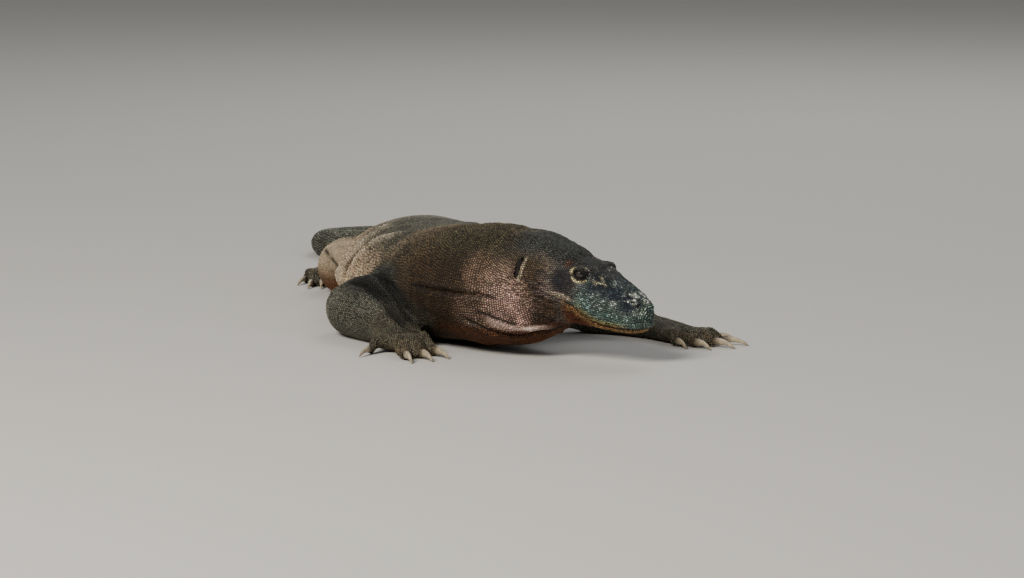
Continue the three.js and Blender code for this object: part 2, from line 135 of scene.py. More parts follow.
def tube_surface(rows, steps, sides):
    """Ovals square to a centre line, half width level and half height upright, flattened on the floor."""
    fine = between_rows(rows, steps)
    ahead = headings(fine[:, :3])
    side = np.cross([0, 0, 1], ahead)
    side /= np.linalg.norm(side, axis=1, keepdims=True)
    up = np.cross(ahead, side)
    a = np.linspace(0, 2 * np.pi, sides, endpoint=False)[None, :, None]
    grid = fine[:, None, :3] + side[:, None] * fine[:, None, 3:4] * np.cos(a) + up[:, None] * fine[:, None,
            4:5] * np.sin(a)
    grid[..., 2] = np.maximum(grid[..., 2], 0)
    return grid


def head_surface(along, sides):
    """Crown, brow, cheek, lip, jaw and chin heights read from the profiles at each distance along
    the head, joined round by a Catmull-Rom loop, then turned and dropped into the head's place."""
    top, bottom = profile(CROWN, along), profile(CHIN, along)
    crown, cheek, rise = profile(CROWN_HALF, along), profile(CHEEK_HALF, along), profile(CHEEK_RISE, along)
    lip, lip_rise, jaw = profile(LIP_HALF, along), profile(LIP_RISE, along), profile(JAW_HALF, along)
    tall, none = top - bottom, np.zeros_like(along)
    half = [(none, top), (0.55 * crown, top - 0.01 * tall), (crown, top - 0.07 * tall),
            (0.98 * cheek, rise + 0.16 * tall), (cheek, rise - 0.04 * tall), (lip, lip_rise),
            (1.15 * jaw, bottom + 0.16 * tall), (0.8 * jaw, bottom + 0.02 * tall), (none, bottom)]
    loop = half + [(-u, v) for u, v in half[-2:0:-1]]
    loop = np.array(loop).transpose(2, 0, 1)
    at = np.arange(sides) * loop.shape[1] / sides
    i, t = np.floor(at).astype(int), (at % 1)[None, :, None]
    p0, p1, p2, p3 = (loop[:, (i + k) % loop.shape[1]] for k in (-1, 0, 1, 2))
    ring = 0.5 * (2 * p1 + (p2 - p0) * t + (2 * p0 - 5 * p1 + 4 * p2 - p3) * t**2
                  + (3 * p1 - p0 - 3 * p2 + p3) * t**3)
    local = np.concatenate([np.broadcast_to(along[:, None, None], ring[..., :1].shape), ring], 2)
    return local @ HEAD_TURN.T + EAR


def profile(knots, x):
    """A height or half width at x: the monotone cubic through a table's knots."""
    knots = np.asarray(knots, float)
    h, slope = np.diff(knots[:, 0]), np.diff(knots[:, 1]) / np.diff(knots[:, 0])
    inner = np.where(slope[:-1] * slope[1:] > 0, 2 * slope[:-1] * slope[1:]
                     / np.where(slope[:-1] + slope[1:] == 0, 1, slope[:-1] + slope[1:]), 0)
    tangent = np.concatenate([slope[:1], inner, slope[-1:]])
    i = np.clip(np.searchsorted(knots[:, 0], x, side="left") - 1, 0, len(h) - 1)
    t = (x - knots[i, 0]) / h[i]
    return knots[i, 1] * (2 * t**3 - 3 * t**2 + 1) + knots[i + 1, 1] * (3 * t**2 - 2 * t**3) \
        + h[i] * tangent[i] * (t**3 - 2 * t**2 + t) + h[i] * tangent[i + 1] * (t**3 - t**2)


def digit_rows(x, y, heading, length, half, arch):
    """Centre line and half sizes of one digit: up over the knuckle, down to the floor at the claw."""
    way = np.array([np.cos(np.radians(heading)), np.sin(np.radians(heading))])
    table = np.array([(-0.2, 13, 1), (0.2, 0.5 * (13 + arch), 1.12), (0.45, arch, 1.06),
                      (0.74, 0.8 * half, 1.04), (1.0, 0.76 * half, 0.8)])
    f, z, k = table.T
    return np.column_stack([x + way[0] * length * f, y + way[1] * length * f, z, half * k, 0.95 * half * k])


def closed_mesh(grids):
    """Vertices and faces of grids closed round each ring and fanned shut at both ends."""
    points, faces, start = [], [], 0
    for grid in grids:
        n, m = grid.shape[:2]
        points += [grid.reshape(-1, 3), grid[0].mean(0, keepdims=True), grid[-1].mean(0, keepdims=True)]
        i, j = np.meshgrid(np.arange(n - 1), np.arange(m), indexing="ij")
        a, b = i * m + j, i * m + (j + 1) % m
        j, k = np.arange(m), (np.arange(m) + 1) % m
        faces += (np.stack([a, b, b + m, a + m], -1).reshape(-1, 4) + start).tolist()
        faces += (np.column_stack([np.full(m, n * m), k, j]) + start).tolist()
        faces += (np.column_stack([np.full(m, n * m + 1), (n - 1) * m + j, (n - 1) * m + k])
                  + start).tolist()
        start += n * m + 2
    return np.vstack(points), faces


def new_piece(name, points_mm, faces, smooth=True):
    """A mesh object whose vertices stand in metres in the model's frame."""
    mesh = bpy.data.meshes.new(name)
    mesh.from_pydata(((np.asarray(points_mm) - ORIGIN) / 1000.0).tolist(), [], faces)
    mesh.update()
    mesh.polygons.foreach_set("use_smooth", [smooth] * len(mesh.polygons))
    piece = bpy.data.objects.new(name, mesh)
    bpy.context.scene.collection.objects.link(piece)
    return piece


def ball_surface(x, y, z, half, high):
    """The round of an elbow or knee as stacked level rings, flat where it rests on the floor."""
    b = np.linspace(-0.495, 0.495, 17)[:, None] * np.pi
    a = np.linspace(0, 2 * np.pi, 28, endpoint=False)[None, :]
    grid = np.stack([x + half * np.cos(b) * np.cos(a), y + half * np.cos(b) * np.sin(a), z + high
                     * np.sin(b) + 0 * a], 2)
    grid[..., 2] = np.maximum(grid[..., 2], 0)
    return grid


HEAD_ALONG = np.concatenate([np.linspace(-58, 186, 80), np.linspace(188, 205.5, 12)])
forms = [trunk_surface(TRUNK, 10, 72), tube_surface(THROAT, 8, 48), head_surface(HEAD_ALONG, 96)]
for limb in (ARM_RIGHT, ARM_LEFT, LEG_RIGHT, LEG_LEFT):
    upper, lower = limb[:4], limb[3:]
    forms += [tube_surface(upper, 8, 36), tube_surface(lower, 8, 36), ball_surface(*limb[3])]
forms += [tube_surface(digit_rows(*digit), 5, 18) for digit in HAND_RIGHT + HAND_LEFT + FOOT_RIGHT
          + FOOT_LEFT]

# all forms are fused into one closed skin, on cells of this size in metres
SKIN_GRAIN = 0.0052
skin = new_piece("skin", *closed_mesh(forms))
fuse = skin.modifiers.new("fuse", "REMESH")
fuse.mode, fuse.voxel_size, fuse.adaptivity, fuse.use_smooth_shade = "VOXEL", SKIN_GRAIN, 0.0, True
fused = bpy.data.meshes.new_from_object(skin.evaluated_get(bpy.context.evaluated_depsgraph_get()))
skin.modifiers.clear()
skin.data = fused


def read_points(mesh):
    """A mesh's vertices as millimetres in the tables' frame."""
    flat = np.empty(len(mesh.vertices) * 3, np.float32)
    mesh.vertices.foreach_get("co", flat)
    return flat.reshape(-1, 3).astype(float) * 1000 + ORIGIN


def write_points(mesh, points_mm):
    """Puts millimetre points back into a mesh, in metres."""
    mesh.vertices.foreach_set("co", ((points_mm - ORIGIN) / 1000).astype(np.float32).ravel())
    mesh.update()


def read_normals(mesh):
    """Each vertex's outward direction."""
    flat = np.empty(len(mesh.vertices) * 3, np.float32)
    mesh.vertex_normals.foreach_get("vector", flat)
    return flat.reshape(-1, 3).astype(float)


def relax(mesh, amount, rounds):
    """Moves each vertex by `amount` (one number per vertex) towards the mean of its neighbours."""
    ends = np.empty(len(mesh.edges) * 2, np.int32)
    mesh.edges.foreach_get("vertices", ends)
    a, b = ends.reshape(-1, 2).T
    points, n = read_points(mesh), len(mesh.vertices)
    count = np.bincount(a, minlength=n) + np.bincount(b, minlength=n)
    for _ in range(rounds):
        mean = np.column_stack([np.bincount(a, points[b, k], n) + np.bincount(b, points[a, k], n) for k
                                in range(3)]) / count[:, None]
        points = points + (mean - points) * amount[:, None]
    write_points(mesh, points)
    return points


def ease(x, start, end):
    """0 before start, 1 after end, an S curve between; start may lie above end."""
    t = np.clip((x - start) / (end - start), 0, 1)
    return t * t * (3 - 2 * t)


def away(points, place):
    """Distance of each point from one place."""
    return np.linalg.norm(points - np.asarray(place, float), axis=1)


def oval(x, y, middle, half):
    """How far each place lies out from the middle of an upright oval, 1 on its edge."""
    return np.hypot((x - middle[0]) / half[0], (y - middle[1]) / half[1])


def from_line(points, line):
    """Distance of each point from a polyline, and how far along it (0 to 1) the nearest place lies."""
    line = np.asarray(line, float)
    best, where = np.full(len(points), 1e9), np.zeros(len(points))
    lengths = np.linalg.norm(np.diff(line, axis=0), axis=1)
    starts = np.concatenate([[0], np.cumsum(lengths)])
    for k, (a, b) in enumerate(zip(line[:-1], line[1:])):
        t = np.clip((points - a) @ (b - a) / ((b - a) @ (b - a)), 0, 1)
        d = np.linalg.norm(points - a - t[:, None] * (b - a), axis=1)
        nearer = d < best
        best, where = np.where(nearer, d, best), np.where(nearer, (starts[k] + t * lengths[k])
                                                          / starts[-1], where)
    return best, where


def mottle(points, size, seed):
    """Smooth noise from -1 to 1: random values on a lattice of the given size, blended between."""
    q = points / size + 1000.0 + seed * 17.31
    cell = np.floor(q).astype(np.int64)
    t = q - cell
    t = t * t * (3 - 2 * t)
    total = np.zeros(len(points))
    for corner in range(8):
        bit = np.array([corner & 1, corner >> 1 & 1, corner >> 2 & 1])
        x, y, z = (cell + bit).T
        h = (x * 73856093) ^ (y * 19349663) ^ (z * 83492791) ^ (seed * 2654435761)
        h = (h ^ (h >> 13)) * 1274126177 & 0x7FFFFFFF
        total += (h % 20011) / 10005.5 * np.prod(np.where(bit, t, 1 - t), axis=1)
    return total - 1.0


def in_head(points):
    """Distance along the head from the ear, to its left, and up, in the head's own frame."""
    return (points - EAR) @ HEAD_TURN


def to_world(local):
    """A place in the head's own frame, put back among the body's."""
    return np.asarray(local, float) @ HEAD_TURN.T + EAR


# the joins of limbs, throat and head are rounded off, the fine forms hardly at all
points = read_points(skin.data)
head = in_head(points)
joins = np.zeros(len(points))
for place, reach in (((26, -98, 60), 62), ((16, 108, 60), 62), ((-628, -66, 56), 66), ((-614, 100, 56), 66),
                     ((215, 88, 80), 95), ((250, 120, 90), 70), ((-36, -148, 40), 40),
                     ((-560, -118, 45), 48), ((-540, 155, 45), 48), ((178, -98, 16), 34), ((140, 334, 14), 30)):
    joins = np.maximum(joins, ease(away(points, place), reach * 1.25, reach * 0.6))
joins *= 1 - ease(head[:, 0], 40, 70) * ease(away(head, [0, 0, 0]), 300, 260)
relax(skin.data, np.full(len(points), 0.5), 3)
relax(skin.data, 0.55 * joins, 14)


def split_faces(mesh, chosen):
    """Cuts every face whose corners are all chosen into four."""
    work = bmesh.new()
    work.from_mesh(mesh)
    work.verts.ensure_lookup_table()
    edges = [e for e in work.edges if chosen[e.verts[0].index] and chosen[e.verts[1].index]]
    bmesh.ops.subdivide_edges(work, edges=edges, cuts=1, use_grid_fill=True)
    work.to_mesh(mesh)
    work.free()


# Lines of the folds: points where rays cast onto the solids met them, rounded to the millimetre,
# some of them then moved one by one.
NECK_CREASES = [  # the long crease from shoulder to jaw, then the ones under the ear and on the nape
    [[128, -76, 95], [155, -64, 93], [175, -54, 92], [203, -37, 93], [214, -30, 92], [235, -12, 92],
     [254, 8, 93], [269, 28, 91]],
    [[248, 8, 68], [257, 20, 64], [260, 27, 61], [265, 36, 58], [269, 50, 54], [272, 59, 52]],
    [[222, -12, 60], [235, 1, 50], [241, 13, 45], [251, 30, 39], [255, 40, 36.5], [260, 51, 35],
     [263, 61, 36], [266, 72, 37], [270, 82, 39], [272, 94, 40], [270, 108, 40], [268, 120, 42],
     [268, 131, 47]],
    [[140, -72, 128], [176, -58, 132], [214, -30, 136], [240, 4, 138]],
    [[150, -66, 60], [176, -50, 52], [200, -30, 46]],
    [[204, -38, 160], [222, -20, 128], [228, -16, 104]]]
GULAR_RIDGE = [[250, 14, 60], [255, 24, 55], [262, 36, 49.5], [268, 52, 45.5], [269, 66, 43.5],
               [274, 77, 44.5], [277, 89, 45.5], [275, 103, 46], [272, 116, 46.5], [272, 124, 48],
               [271, 130, 52]]
FLANK_RIDGES = [  # the two folds of loose skin that run up the flank
    [[-330, -146, 34], [-305, -145, 57], [-268, -144, 72], [-259, -140, 82], [-256, -134, 90],
     [-250, -128, 98], [-243, -121, 107], [-243, -114, 113], [-245, -106, 118], [-250, -97, 123],
     [-260, -88, 128], [-289, -76, 132], [-342, -57, 134]],
    [[-204, -142, 76], [-198, -138, 85], [-192, -132, 93], [-185, -126, 101], [-178, -118, 110],
     [-175, -107, 119], [-166, -99, 126], [-143, -93, 131], [-118, -86, 137], [-88, -79, 142],
     [-57, -67, 149]]]
FLANK_GROOVE = [[-244, -141, 76], [-240, -137, 86], [-232, -131, 95], [-220, -122, 106], [-215, -110, 117],
                [-210, -98, 125], [-200, -90, 132]]
ARM_CREASES = [  # above the forearm, the slack fold in front of the shoulder, and its two round wrinkles
    [[-14, -158, 78], [-1, -156, 82], [18, -147, 81], [30, -140, 80], [46, -130, 73], [69, -120, 66],
     [96, -112, 58], [123, -105, 50], [143, -99, 43], [161, -93, 37], [180, -80, 28]],
    [[-10, -128, 92], [12, -122, 95], [42, -113, 91], [59, -102, 85], [77, -96, 75], [91, -89, 64],
     [96, -84, 50], [110, -82, 40]],
    [[29, -129, 87], [22, -122, 92], [16, -117, 97], [14, -111, 100], [29, -106, 101], [46, -102, 97],
     [57, -100, 90], [66, -100, 80]],
    [[38, -121, 88], [41, -115, 91], [45, -109, 91], [53, -106, 88], [60, -105, 80]]]
KNEE_CREASE = [[-540, -152, 72], [-513, -148, 64], [-507, -142, 57], [-502, -136, 50], [-500, -131, 42]]
CHEEK_FOLDS = [[[26, 62, -5], [40, 59, -5], [55, 57, -9], [69, 53, -9]],
               [[28, 60, -18], [39, 58, -17], [54, 55, -18], [67, 51, -20]],
               [[25, 55, -46], [33, 52, -40], [42, 49, -37], [53, 46, -38], [58, 42, -42]], [[10, 66, 6],
                       [30, 62, 6], [52, 56, 2]]]

# closer mesh on head, hands and feet, closest round eyes, nostrils, ears and mouth
points = read_points(skin.data)
head = in_head(points)
fine = (head[:, 0] > -28) & (np.abs(head[:, 1]) < 80) & (np.abs(head[:, 2]) < 85) & (away(head,
        [0, 0, 0]) < 225)
for digits, palm in ((HAND_RIGHT, ARM_RIGHT), (HAND_LEFT, ARM_LEFT), (FOOT_RIGHT, LEG_RIGHT),
                     (FOOT_LEFT, LEG_LEFT)):
    for x, y, heading, length, half, arch in digits:
        end = np.array([x + np.cos(np.radians(heading)) * length, y + np.sin(np.radians(heading)) * length,
                        10])
        fine |= from_line(points, [[x, y, 16], end])[0] < 22
for line in NECK_CREASES[:3] + ARM_CREASES + [KNEE_CREASE, GULAR_RIDGE]:
    fine |= from_line(points, line)[0] < 13
split_faces(skin.data, fine)
points = read_points(skin.data)
head = in_head(points)
amount = ease(head[:, 0], -34, -24) * ease(away(head, [0, 0, 0]), 235, 225) + ease(points[:, 2], 70, 60)
relax(skin.data, 0.45 * np.clip(amount, 0, 1), 3)

# places on the face, in the head's own frame: eyeball, nostril, and the ear slit's middle
EYE = np.array([94.0, 39.0, 33.5])
NOSTRIL = np.array([189.0, 18.0, 11.0])
EAR_SLIT = np.array([2.0, 17.0])
MOUTH = [[58, -8], [80, -11], [95, -15], [112, -24], [126, -30], [140, -32], [157, -31], [174, -29],
         [189, -26], [200, -22], [206, -19]]
points = read_points(skin.data)
head = in_head(points)
s, u, v = head[:, 0], np.abs(head[:, 1]), head[:, 2]
closest = (np.hypot(s - 94, v - 33.5) < 22) & (u > 24)
closest |= (np.hypot(s - 2, v - 17) < 23) & (u > 50)
closest |= away(np.column_stack([s, u, v]), NOSTRIL) < 12
closest |= (s > 50) & (s < 207) & (np.abs(v - np.interp(s, *np.transpose(MOUTH))) < 9) & (u > 3)
closest &= away(head, [0, 0, 0]) < 225
split_faces(skin.data, closest)
relax(skin.data, 0.4 * ease(away(in_head(read_points(skin.data)), [0, 0, 0]), 235, 225), 2)


def left_right(line):
    """A fold of the trunk, and the same fold on the other flank."""
    return [np.asarray(line, float), np.asarray(line, float) * [1, -1, 1]]


def mirrored_neck(line):
    """A crease of the bent neck on its near side, and the same crease carried round to the far side."""
    local = (np.asarray(line, float) - EAR) @ HEAD_TURN
    return [np.asarray(line, float), (local * [1, -1, 1]) @ HEAD_TURN.T + EAR]


def fold(points, line, depth, width, lip=0.45):
    """Height of the skin round a fold: a sharp valley along the line with a low welt on each side,
    fading at both ends of the line; lip is the welt's share of the depth."""
    d, t = from_line(points, line)
    fade = ease(t, 0, 0.2) * ease(t, 1, 0.8)
    return depth * fade * (-np.exp(-d / width) + lip * np.exp(-((d - 2.4 * width) / (1.3 * width)) ** 2))


def welt(points, line, height, width):
    """Height of a raised fold of skin along a line, round in section, fading at its ends."""
    d, t = from_line(points, line)
    return height * ease(t, 0, 0.15) * ease(t, 1, 0.85) * np.exp(-(d / width) ** 2)


def loose_folds(points):
    """How far the loose skin of the body stands out of the plain forms, in millimetres."""
    x, y, z = points.T
    rise = np.zeros(len(points))
    for line, depth, width in zip(NECK_CREASES, (8.0, 5.5, 8.0, 2.2, 2.5, 2.5),
                                  (3.0, 2.4, 2.8, 4.0, 4.0, 4.0)):
        for side in mirrored_neck(line):
            rise += fold(points, side, depth, width)
    for side in mirrored_neck(GULAR_RIDGE):
        rise += welt(points, side, 5.0, 4.5)
    for ridge, high in zip(FLANK_RIDGES, (9.0, 6.0)):
        for line, share in zip(left_right(ridge), (1, 0.4)):
            rise += welt(points, line, share * high, 12)
    for line in left_right(FLANK_GROOVE):
        rise += fold(points, line, 3.5, 5, 0)
    for line, depth, width in zip(ARM_CREASES, (11.0, 9.0, 4.5, 3.5), (5.0, 4.5, 2.2, 1.8)):
        rise += fold(points, line, depth, width, 0.4)
    rise += fold(points, np.asarray(ARM_LEFT)[:4, :3] + [26, -6, 18], 6, 6, 0.4)
    for line in left_right(KNEE_CREASE):
        rise += fold(points, line, 4.5, 1.9)
    # ribs and slack rings of skin round the belly, finer rings round the neck
    flank = ease(x, -640, -560) * ease(x, 80, 20)
    wave = mottle(points * [1 / 26, 1 / 70, 1 / 60], 1.0, 3)
    rise += flank * 2.2 * wave * ease(np.abs(y), 40, 100)
    neck = ease(x, 70, 130) * ease(in_head(points)[:, 0], -20, -50)
    along = (points @ [0.55, 0.83, 0.0])
    ring = mottle(np.column_stack([along / 9, z / 40, (x - y) / 60]), 1.0, 5)
    rise += neck * (1.5 * ring + 1.2 * mottle(np.column_stack([along / 22, z / 30, (x - y) / 40]), 1.0, 8))
    # elbow, wrist, knee and ankle wrinkles run round the joint
    for place, axis, reach in (((-36, -150, 40), (0.3, 0.9, 0), 58), ((112, -110, 29), (0.9, 0.3, 0), 40),
                               ((-536, -126, 44), (-0.9, 0.3, 0), 56),
                               ((-2, 214, 33), (0.5, 0.8, 0), 48), ((64, 290, 18), (0.7, 0.7, 0),
                                       40), ((-512, 158, 44), (-0.9, 0.1, 0), 56),
                               ((-708, -100, 22), (0.8, 0.2, 0.5), 34), ((-682, 194, 22), (0.8, 0.2, 0.5),
                                       34)):
        near = ease(away(points, place), reach, reach * 0.45)
        rise += near * 1.6 * mottle(np.column_stack([points @ np.asarray(axis, float) / 6.5, y / 34, z
                                                     / 34]), 1.0, 11)
    return rise


def head_relief(head):
    """How far brow, jaw muscle, lips, mouth line, nostrils and cheek folds stand out of the skull."""
    s, u, v = head[:, 0], np.abs(head[:, 1]), head[:, 2]
    side = np.column_stack([s, u, v])
    rise = 3.0 * np.exp(-(((s - 14) / 30) ** 2 + ((v + 12) / 22) ** 2)) * ease(u, 40, 52)
    rise -= 2.0 * np.exp(-(((s - 52) / 24) ** 2 + ((v - 22) / 9) ** 2)) * ease(u, 36, 46)
    brow, t = from_line(side, [[58, 41, 45], [77, 41, 47], [93, 39, 49], [108, 34, 46]])
    rise += 2.0 * np.exp(-(brow / 5) ** 2) * ease(t, 0, 0.3) * ease(t, 1.05, 0.7)
    rise -= 7.0 * ease(v, 36, 49) * ease(s, 50, 78) * ease(s, 148, 116)
    rise -= 1.8 * np.exp(-(((s - 116) / 12) ** 2 + ((v - 24) / 8) ** 2)) * ease(u, 20, 30)
    mouth = np.interp(s, *np.transpose(MOUTH))
    open_at = ease(s, 60, 72) * ease(s, 230, 208) * ease(u, 0, 3)
    d = v - mouth
    rise += open_at * (-2.6 * np.exp(-(d / 1.3) ** 2) + 1.5 * np.exp(-((d - 4.6) / 3.2) ** 2) + 1.0
                       * np.exp(-((d + 4.6) / 3.0) ** 2))
    rise -= open_at * 0.9 * np.exp(-((d - 10.5) / 1.5) ** 2) + open_at * 0.7 * np.exp(-((d + 9.5)
            / 1.6) ** 2)
    hole = away(side, NOSTRIL)
    rise += -4.2 * np.exp(-(hole / 3.0) ** 2) + 1.3 * np.exp(-((hole - 5.2) / 1.9) ** 2)
    for line in CHEEK_FOLDS:
        rise += fold(side, line, 2.6, 1.7)
    ear = oval(s, v, EAR_SLIT, (4.2, 14.5))
    out = ease(u, 44, 54)
    rise += out * (-5.0 * ease(ear, 1.25, 0.75) + 2.6 * np.exp(-((s - 9.5) / 3) ** 2)
                   * ease(np.abs(v - 17), 22, 12) + 1.5 * np.exp(-((s + 6) / 3) ** 2)
                   * ease(np.abs(v - 17), 20, 12))
    cheek = ease(s, 80, 50) * ease(v, 8, -6)
    rise += (0.7 + 1.3 * cheek) * mottle(head * [1, 1, 1.6], 9, 21) * ease(s, -40, 10) + (0.5 + 0.5
            * cheek) * mottle(head, 4.5, 22) * ease(s, -20, 20)
    return rise


points, out = read_points(skin.data), read_normals(skin.data)
head = in_head(points)
on_head = ease(head[:, 0], -46, -10) * ease(away(head, [0, 0, 0]), 240, 225) * ease(head[:, 2], -76, -62)
rise = loose_folds(points) * (1 - on_head) + head_relief(head) * on_head - 1.3
rise *= 1 - 0.6 * ease(points[:, 2], 5, 1.5)
points = points + out * rise[:, None]

# the lids: skin carried as a thin shell over each eyeball, open in a level oval
head = in_head(points)
s, u, v = head[:, 0], np.abs(head[:, 1]), head[:, 2]
r2 = (s - EYE[0]) ** 2 + (v - EYE[2]) ** 2
dome = EYE[1] + np.sqrt(np.maximum(10.4**2 - r2, 0)) - 12 * ease(np.sqrt(r2), 9.8, 13)
socket = (r2 < 18**2) & (u > 24) & (head[:, 0] > 40)
blend = 2.2
lifted = np.maximum(u, dome) + blend * 0.25 * np.maximum(1 - np.abs(u - dome) / blend, 0) ** 2
opening = np.hypot((s - EYE[0]) / 8.8, (v - EYE[2] + 0.8 + 0.16 * (s - EYE[0])) / 4.5)
lifted = lifted + (EYE[1] + 1.0 - lifted) * ease(opening, 1.06, 0.9)
head[:, 1] = np.where(socket, np.sign(head[:, 1]) * lifted, head[:, 1])
points = to_world(head)
points[:, 2] = np.maximum(points[:, 2], 0.4)
write_points(skin.data, points)


# ------------------------------------------------- colours of hide and scales
# The markings are the animal's own: dull grey-brown, slate on the head, teal and ochre lips,
# flesh pink at the throat. Painted highlights on the flank ridges and painted shade in the creases,
# grooves, armpit and ear openings are laid in with them. Skin and scales both take them from one
# formula of place.
def ink(red, green, blue):
    """A colour given as 0-255 screen values, as linear light."""
    c = np.array([red, green, blue]) / 255.0
    return np.where(c <= 0.04045, c / 12.92, ((c + 0.055) / 1.055) ** 2.4)


def overlay(colour, mask, *parts):
    """Lays a colour over another as far as the mask says."""
    return colour + (ink(*parts) - colour) * np.clip(mask, 0, 1)[:, None]


def hide_colour(points):
    """Linear colour of the hide at each place: a base for each region, eased into its neighbours,
    with the blotches of age and dirt from smooth noise, painted highlights along the flank ridges, and
    painted shade in the creases, the flank groove, the armpit and the ear openings."""
    x, y, z = points.T
    head = in_head(points)
    s, u, v = head[:, 0], np.abs(head[:, 1]), head[:, 2]
    patch, small, fleck = mottle(points, 42, 31), mottle(points, 13, 32), mottle(points, 5, 33)
    # trunk and tail: grey-brown flank, cooler hips and tail, darker shoulder
    colour = np.tile(ink(160, 140, 114), (len(points), 1))
    colour = overlay(colour, ease(z, 84, 138) * ease(x, 40, -60) * 1.0, 68, 66, 55)
    colour = overlay(colour, ease(x, -420, -620) * 0.85, 84, 82, 68)
    colour = overlay(colour, ease(x, -760, -980) * 0.8, 98, 100, 88)
    colour = overlay(colour, ease(x, -110, 50) * 0.92, 58, 49, 34)
    band = np.sin(from_line(points, np.asarray(TRUNK)[:14, [0, 1, 4]])[1] * 74 + 1.2 * patch)
    colour = overlay(colour, ease(x, -760, -860) * ease(band, 0.2, 0.9) * 0.3, 60, 58, 50)
    # painted highlight: the crests of the two flank ridges laid in pale cream as if lit, fainter on the far
    # flank and towards their ends
    for ridge, strong, wide in zip(FLANK_RIDGES, (1.3, 1.0), (10, 9)):
        for line, share in zip(left_right(ridge), (1, 0.4)):
            d, t = from_line(points, line)
            colour = overlay(colour, np.exp(-(d / wide) ** 2) * strong * share * ease(t, 1, 0.5)
                             * ease(t, 0, 0.15) * (0.8 + 0.35 * small), 224, 209, 180)
    # painted shade in the groove between the flank ridges
    for line in left_right(FLANK_GROOVE):
        colour = colour * (1 - 0.7 * np.exp(-(from_line(points, line)[0] / 7) ** 2))[:, None]
    # neck: olive above, dull tan at the side, pink before the gular fold, reddish brown beneath
    neck = ease(x, 40, 150)
    colour = overlay(colour, neck * 0.9, 62, 46, 29)
    colour = overlay(colour, neck * ease(z, 125, 168), 68, 61, 43)
    for way in (1, -1):
        for place, far, close, strong, paint in (
                ((246, 10, 124), 46, 12, 0.55 + 0.3 * small, (146, 118, 96)),
                ((276, 40, 108), 52, 16, 0.7, (150, 124, 106)),
                ((276, 46, 72), 56, 16, 0.8 + 0.35 * small, (182, 148, 134)),
                ((236, 0, 66), 44, 14, 0.45, (150, 124, 108))):
            near = ease(away(head * [1, way, 1], in_head(np.asarray(place))), far, close)
            colour = overlay(colour, near * strong, *paint)
    colour = overlay(colour, ease(z, 46, 38) * ease(x, 130, 200) * 0.95, 92, 54, 27)
    for line in mirrored_neck(GULAR_RIDGE):
        colour = overlay(colour, ease(from_line(points, line)[0], 6, 2.5)
                         * ease(from_line(points, line)[1], 0, 0.35), 240, 212, 196)
    # head: slate above and in front, tan-grey cheek, teal and dark blue snout
    on = np.maximum(ease(s, 22, 62), ease(s, -46, 4) * ease(v, 30, 46)) * ease(v, -86,
            -64) * ease(away(head, [0, 0, 0]), 245, 228)
    slate = np.tile(ink(76, 71, 66), (len(points), 1))
    slate = overlay(slate, ease(v, 32, 50) * 0.85, 56, 58, 54)
    slate = overlay(slate, ease(oval(s, v, (28, 30), (30, 20)), 1.2, 0.4) * (0.5 + 0.35 * small), 116, 102,
                    88)
    slate = overlay(slate, ease(oval(s, v, (40, -4), (26, 22)), 1.2, 0.4) * (0.7 + 0.4 * small), 142, 122,
                    112)
    slate = overlay(slate, ease(oval(s, v, (70, 17), (19, 20)), 1.25, 0.5) * (0.8 + 0.2 * small), 30, 30,
                    34)
    snout = ease(s, 86, 108)
    slate = overlay(slate, snout * ease(v, 40, 26) * (0.8 + 0.3 * fleck), 88, 104, 100)
    slate = overlay(slate, snout * ease(small + fleck, 0.3, 0.9) * ease(v, 46, 30) * 0.8, 150, 156, 144)
    mouth = np.interp(s, *np.transpose(MOUTH))
    above = v - mouth
    slate = overlay(slate, ease(s, 84, 104) * ease(above, -1, 2) * ease(above, 30, 12)
                    * (0.65 + 0.3 * fleck), 84, 106, 98)
    navy = from_line(np.column_stack([s, v]), [[112, 26], [134, 20], [154, 15], [167, 13], [180, 6]])[0]
    slate = overlay(slate, ease(navy + 5 * small, 15, 7) * ease(s, 102, 116) * 0.9, 27, 34, 46)
    slate = overlay(slate, ease(s, 112, 130) * ease(v, 20, 30) * 0.75, 50, 55, 58)
    slate = overlay(slate, ease(s, 92, 112) * ease(s, 190, 160) * ease(above, 12, 6) * ease(above, -1, 1)
                    * 0.8, 116, 116, 78)
    slate = overlay(slate, ease(s, 92, 112) * ease(s, 190, 160) * ease(above, 7, 2) * ease(above, -1, 1)
                    * 0.8, 138, 98, 56)
    slate = overlay(slate, ease(s, 182, 204) * (0.5 + 0.3 * fleck), 100, 118, 106)
    slate = overlay(slate, ease(oval(s, v, (180, 18), (15, 8)), 1.3, 0.5) * ease(fleck, -0.3, 0.3) * 1.0,
                    206, 206, 190)
    slate = overlay(slate, ease(oval(s, v, (124, 29), (14, 7)), 1.3, 0.5) * ease(fleck, -0.1, 0.4) * 0.9,
                    176, 168, 136)
    gape = ease(s, 70, 92) * ease(above, 1, -2)
    slate = overlay(slate, gape * 0.9, 134, 98, 56)
    slate = overlay(slate, gape * ease(above, -7, -15), 84, 40, 20)
    slate = overlay(slate, ease(s, 76, 60) * ease(s, 30, 52) * ease(above, 0, -8) * ease(v, -48, -38)
                    * 0.7, 92, 66, 42)
    slate = overlay(slate, ease(oval(s, v, (74, -6), (18, 5)), 1.3, 0.6) * 0.8, 164, 146, 126)
    slate = overlay(slate, ease(v, -44, -58) * 0.9, 90, 56, 34)
    around = np.hypot((s - EYE[0]) / 1.2, v - EYE[2])
    lower = ease(v - EYE[2] + 0.5 * (s - EYE[0]), 2, -4)
    slate = overlay(slate, ease(np.abs(around - 11.4), 2.8, 1.0) * lower * ease(fleck + small, -0.9, -0.2)
                    * ease(u, 26, 34) * 0.95, 208, 192, 146)
